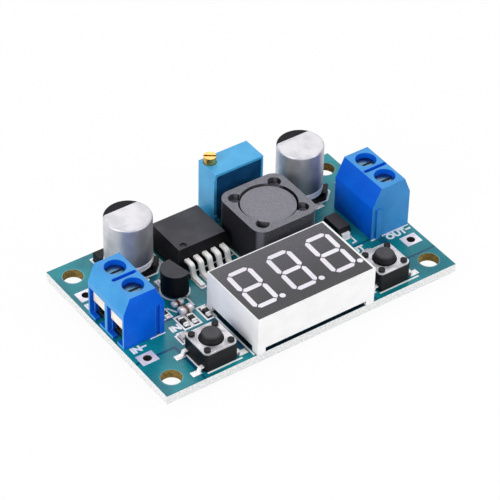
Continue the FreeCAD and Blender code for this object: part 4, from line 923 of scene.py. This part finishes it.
# %% [markdown]
# ## Floor and light
# The module stands on its solder pins on a plain pale floor. Soft light comes from three wide lamps and an
# even sky, at a level where a colour looks about as it is written. The strongest lamp stands at the left, one
# in front fills in the near sides, and a high one behind puts a little shine on the tops, as in the
# photograph. The background is white because the floor and the sky show a strength of 1 to the camera, and to
# the reflections in metal, while the light that falls on the module is less. The floor keeps a little of its
# own shading, so the shadow stays.

# %% Floor
def seen_directly():
    """1 where a ray comes from the camera or from a reflection."""
    rays = Wire.node("LightPath").socket.node.outputs
    return Wire(rays["Is Camera Ray"]) | Wire(rays["Is Glossy Ray"]) | Wire(rays["Is Transmission Ray"])


bpy.ops.object.select_all(action="DESELECT")
bpy.ops.mesh.primitive_plane_add(size=3, location=(0, 0, cad_box[0][2]))
floor = bpy.context.object
floor.name = "floor"
floor_paint = bpy.data.materials.new("floor_paint")
floor_paint.use_nodes = True
floor_paint.node_tree.nodes.clear()
Wire.tree = floor_paint.node_tree
shaded_white = Wire.node("BsdfDiffuse", inputs={"Color": (0.9, 0.9, 0.9, 1)})
bright_white = Wire.node("Emission", inputs={"Color": (1, 1, 1, 1), "Strength": 1})
shown = Wire.node("MixShader", inputs={0: seen_directly() * 0.96, 1: shaded_white, 2: bright_white})
Wire.node("OutputMaterial", inputs={"Surface": shown})
floor.data.materials.append(floor_paint)
floor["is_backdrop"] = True

# %% Sky
SKY = 0.5  # strength of the light that falls from it on the module
world = bpy.data.worlds.new("Sky")
bpy.context.scene.world = world
world.use_nodes = True
world.node_tree.nodes.clear()
Wire.tree = world.node_tree
strength = seen_directly() * (1 - SKY) + SKY
sky = Wire.node("Background", inputs={"Color": (1, 1, 1, 1), "Strength": strength})
Wire.node("OutputWorld", inputs={"Surface": sky})


# %% Lamps
def softbox(name, place, width, power):
    """Round lamp that faces the module."""
    data = bpy.data.lights.new(name, "AREA")
    data.shape, data.size, data.energy = "DISK", width, power
    made = bpy.data.objects.new(name, data)
    bpy.context.scene.collection.objects.link(made)
    made.location = place
    made.rotation_euler = (AIM - made.location).to_track_quat("-Z", "Y").to_euler()
    print(name, "at", place)


softbox("Back lamp", (0.12, 0.24, 0.36), width=0.3, power=0.5)
softbox("Side lamp", (-0.40, -0.06, 0.22), width=0.25, power=0.95)
softbox("Front lamp", (0.22, -0.34, 0.22), width=0.25, power=0.75)

# %% [markdown]
# The Standard view shows colours as they are, with no film curve. The box of what is shown is measured
# against the CAD model's box, and the largest step outside it is printed. Looks may not change the
# module's size.

# %% Finish
bpy.context.scene.view_settings.view_transform = "Standard"
visual_box = [list(corner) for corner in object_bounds()]
steps_out = [max(cad_box[0][axis] - visual_box[0][axis], visual_box[1][axis] - cad_box[1][axis])
             for axis in range(3)]
print("largest step outside the CAD box, mm:", round(max(steps_out) / MM, 3))
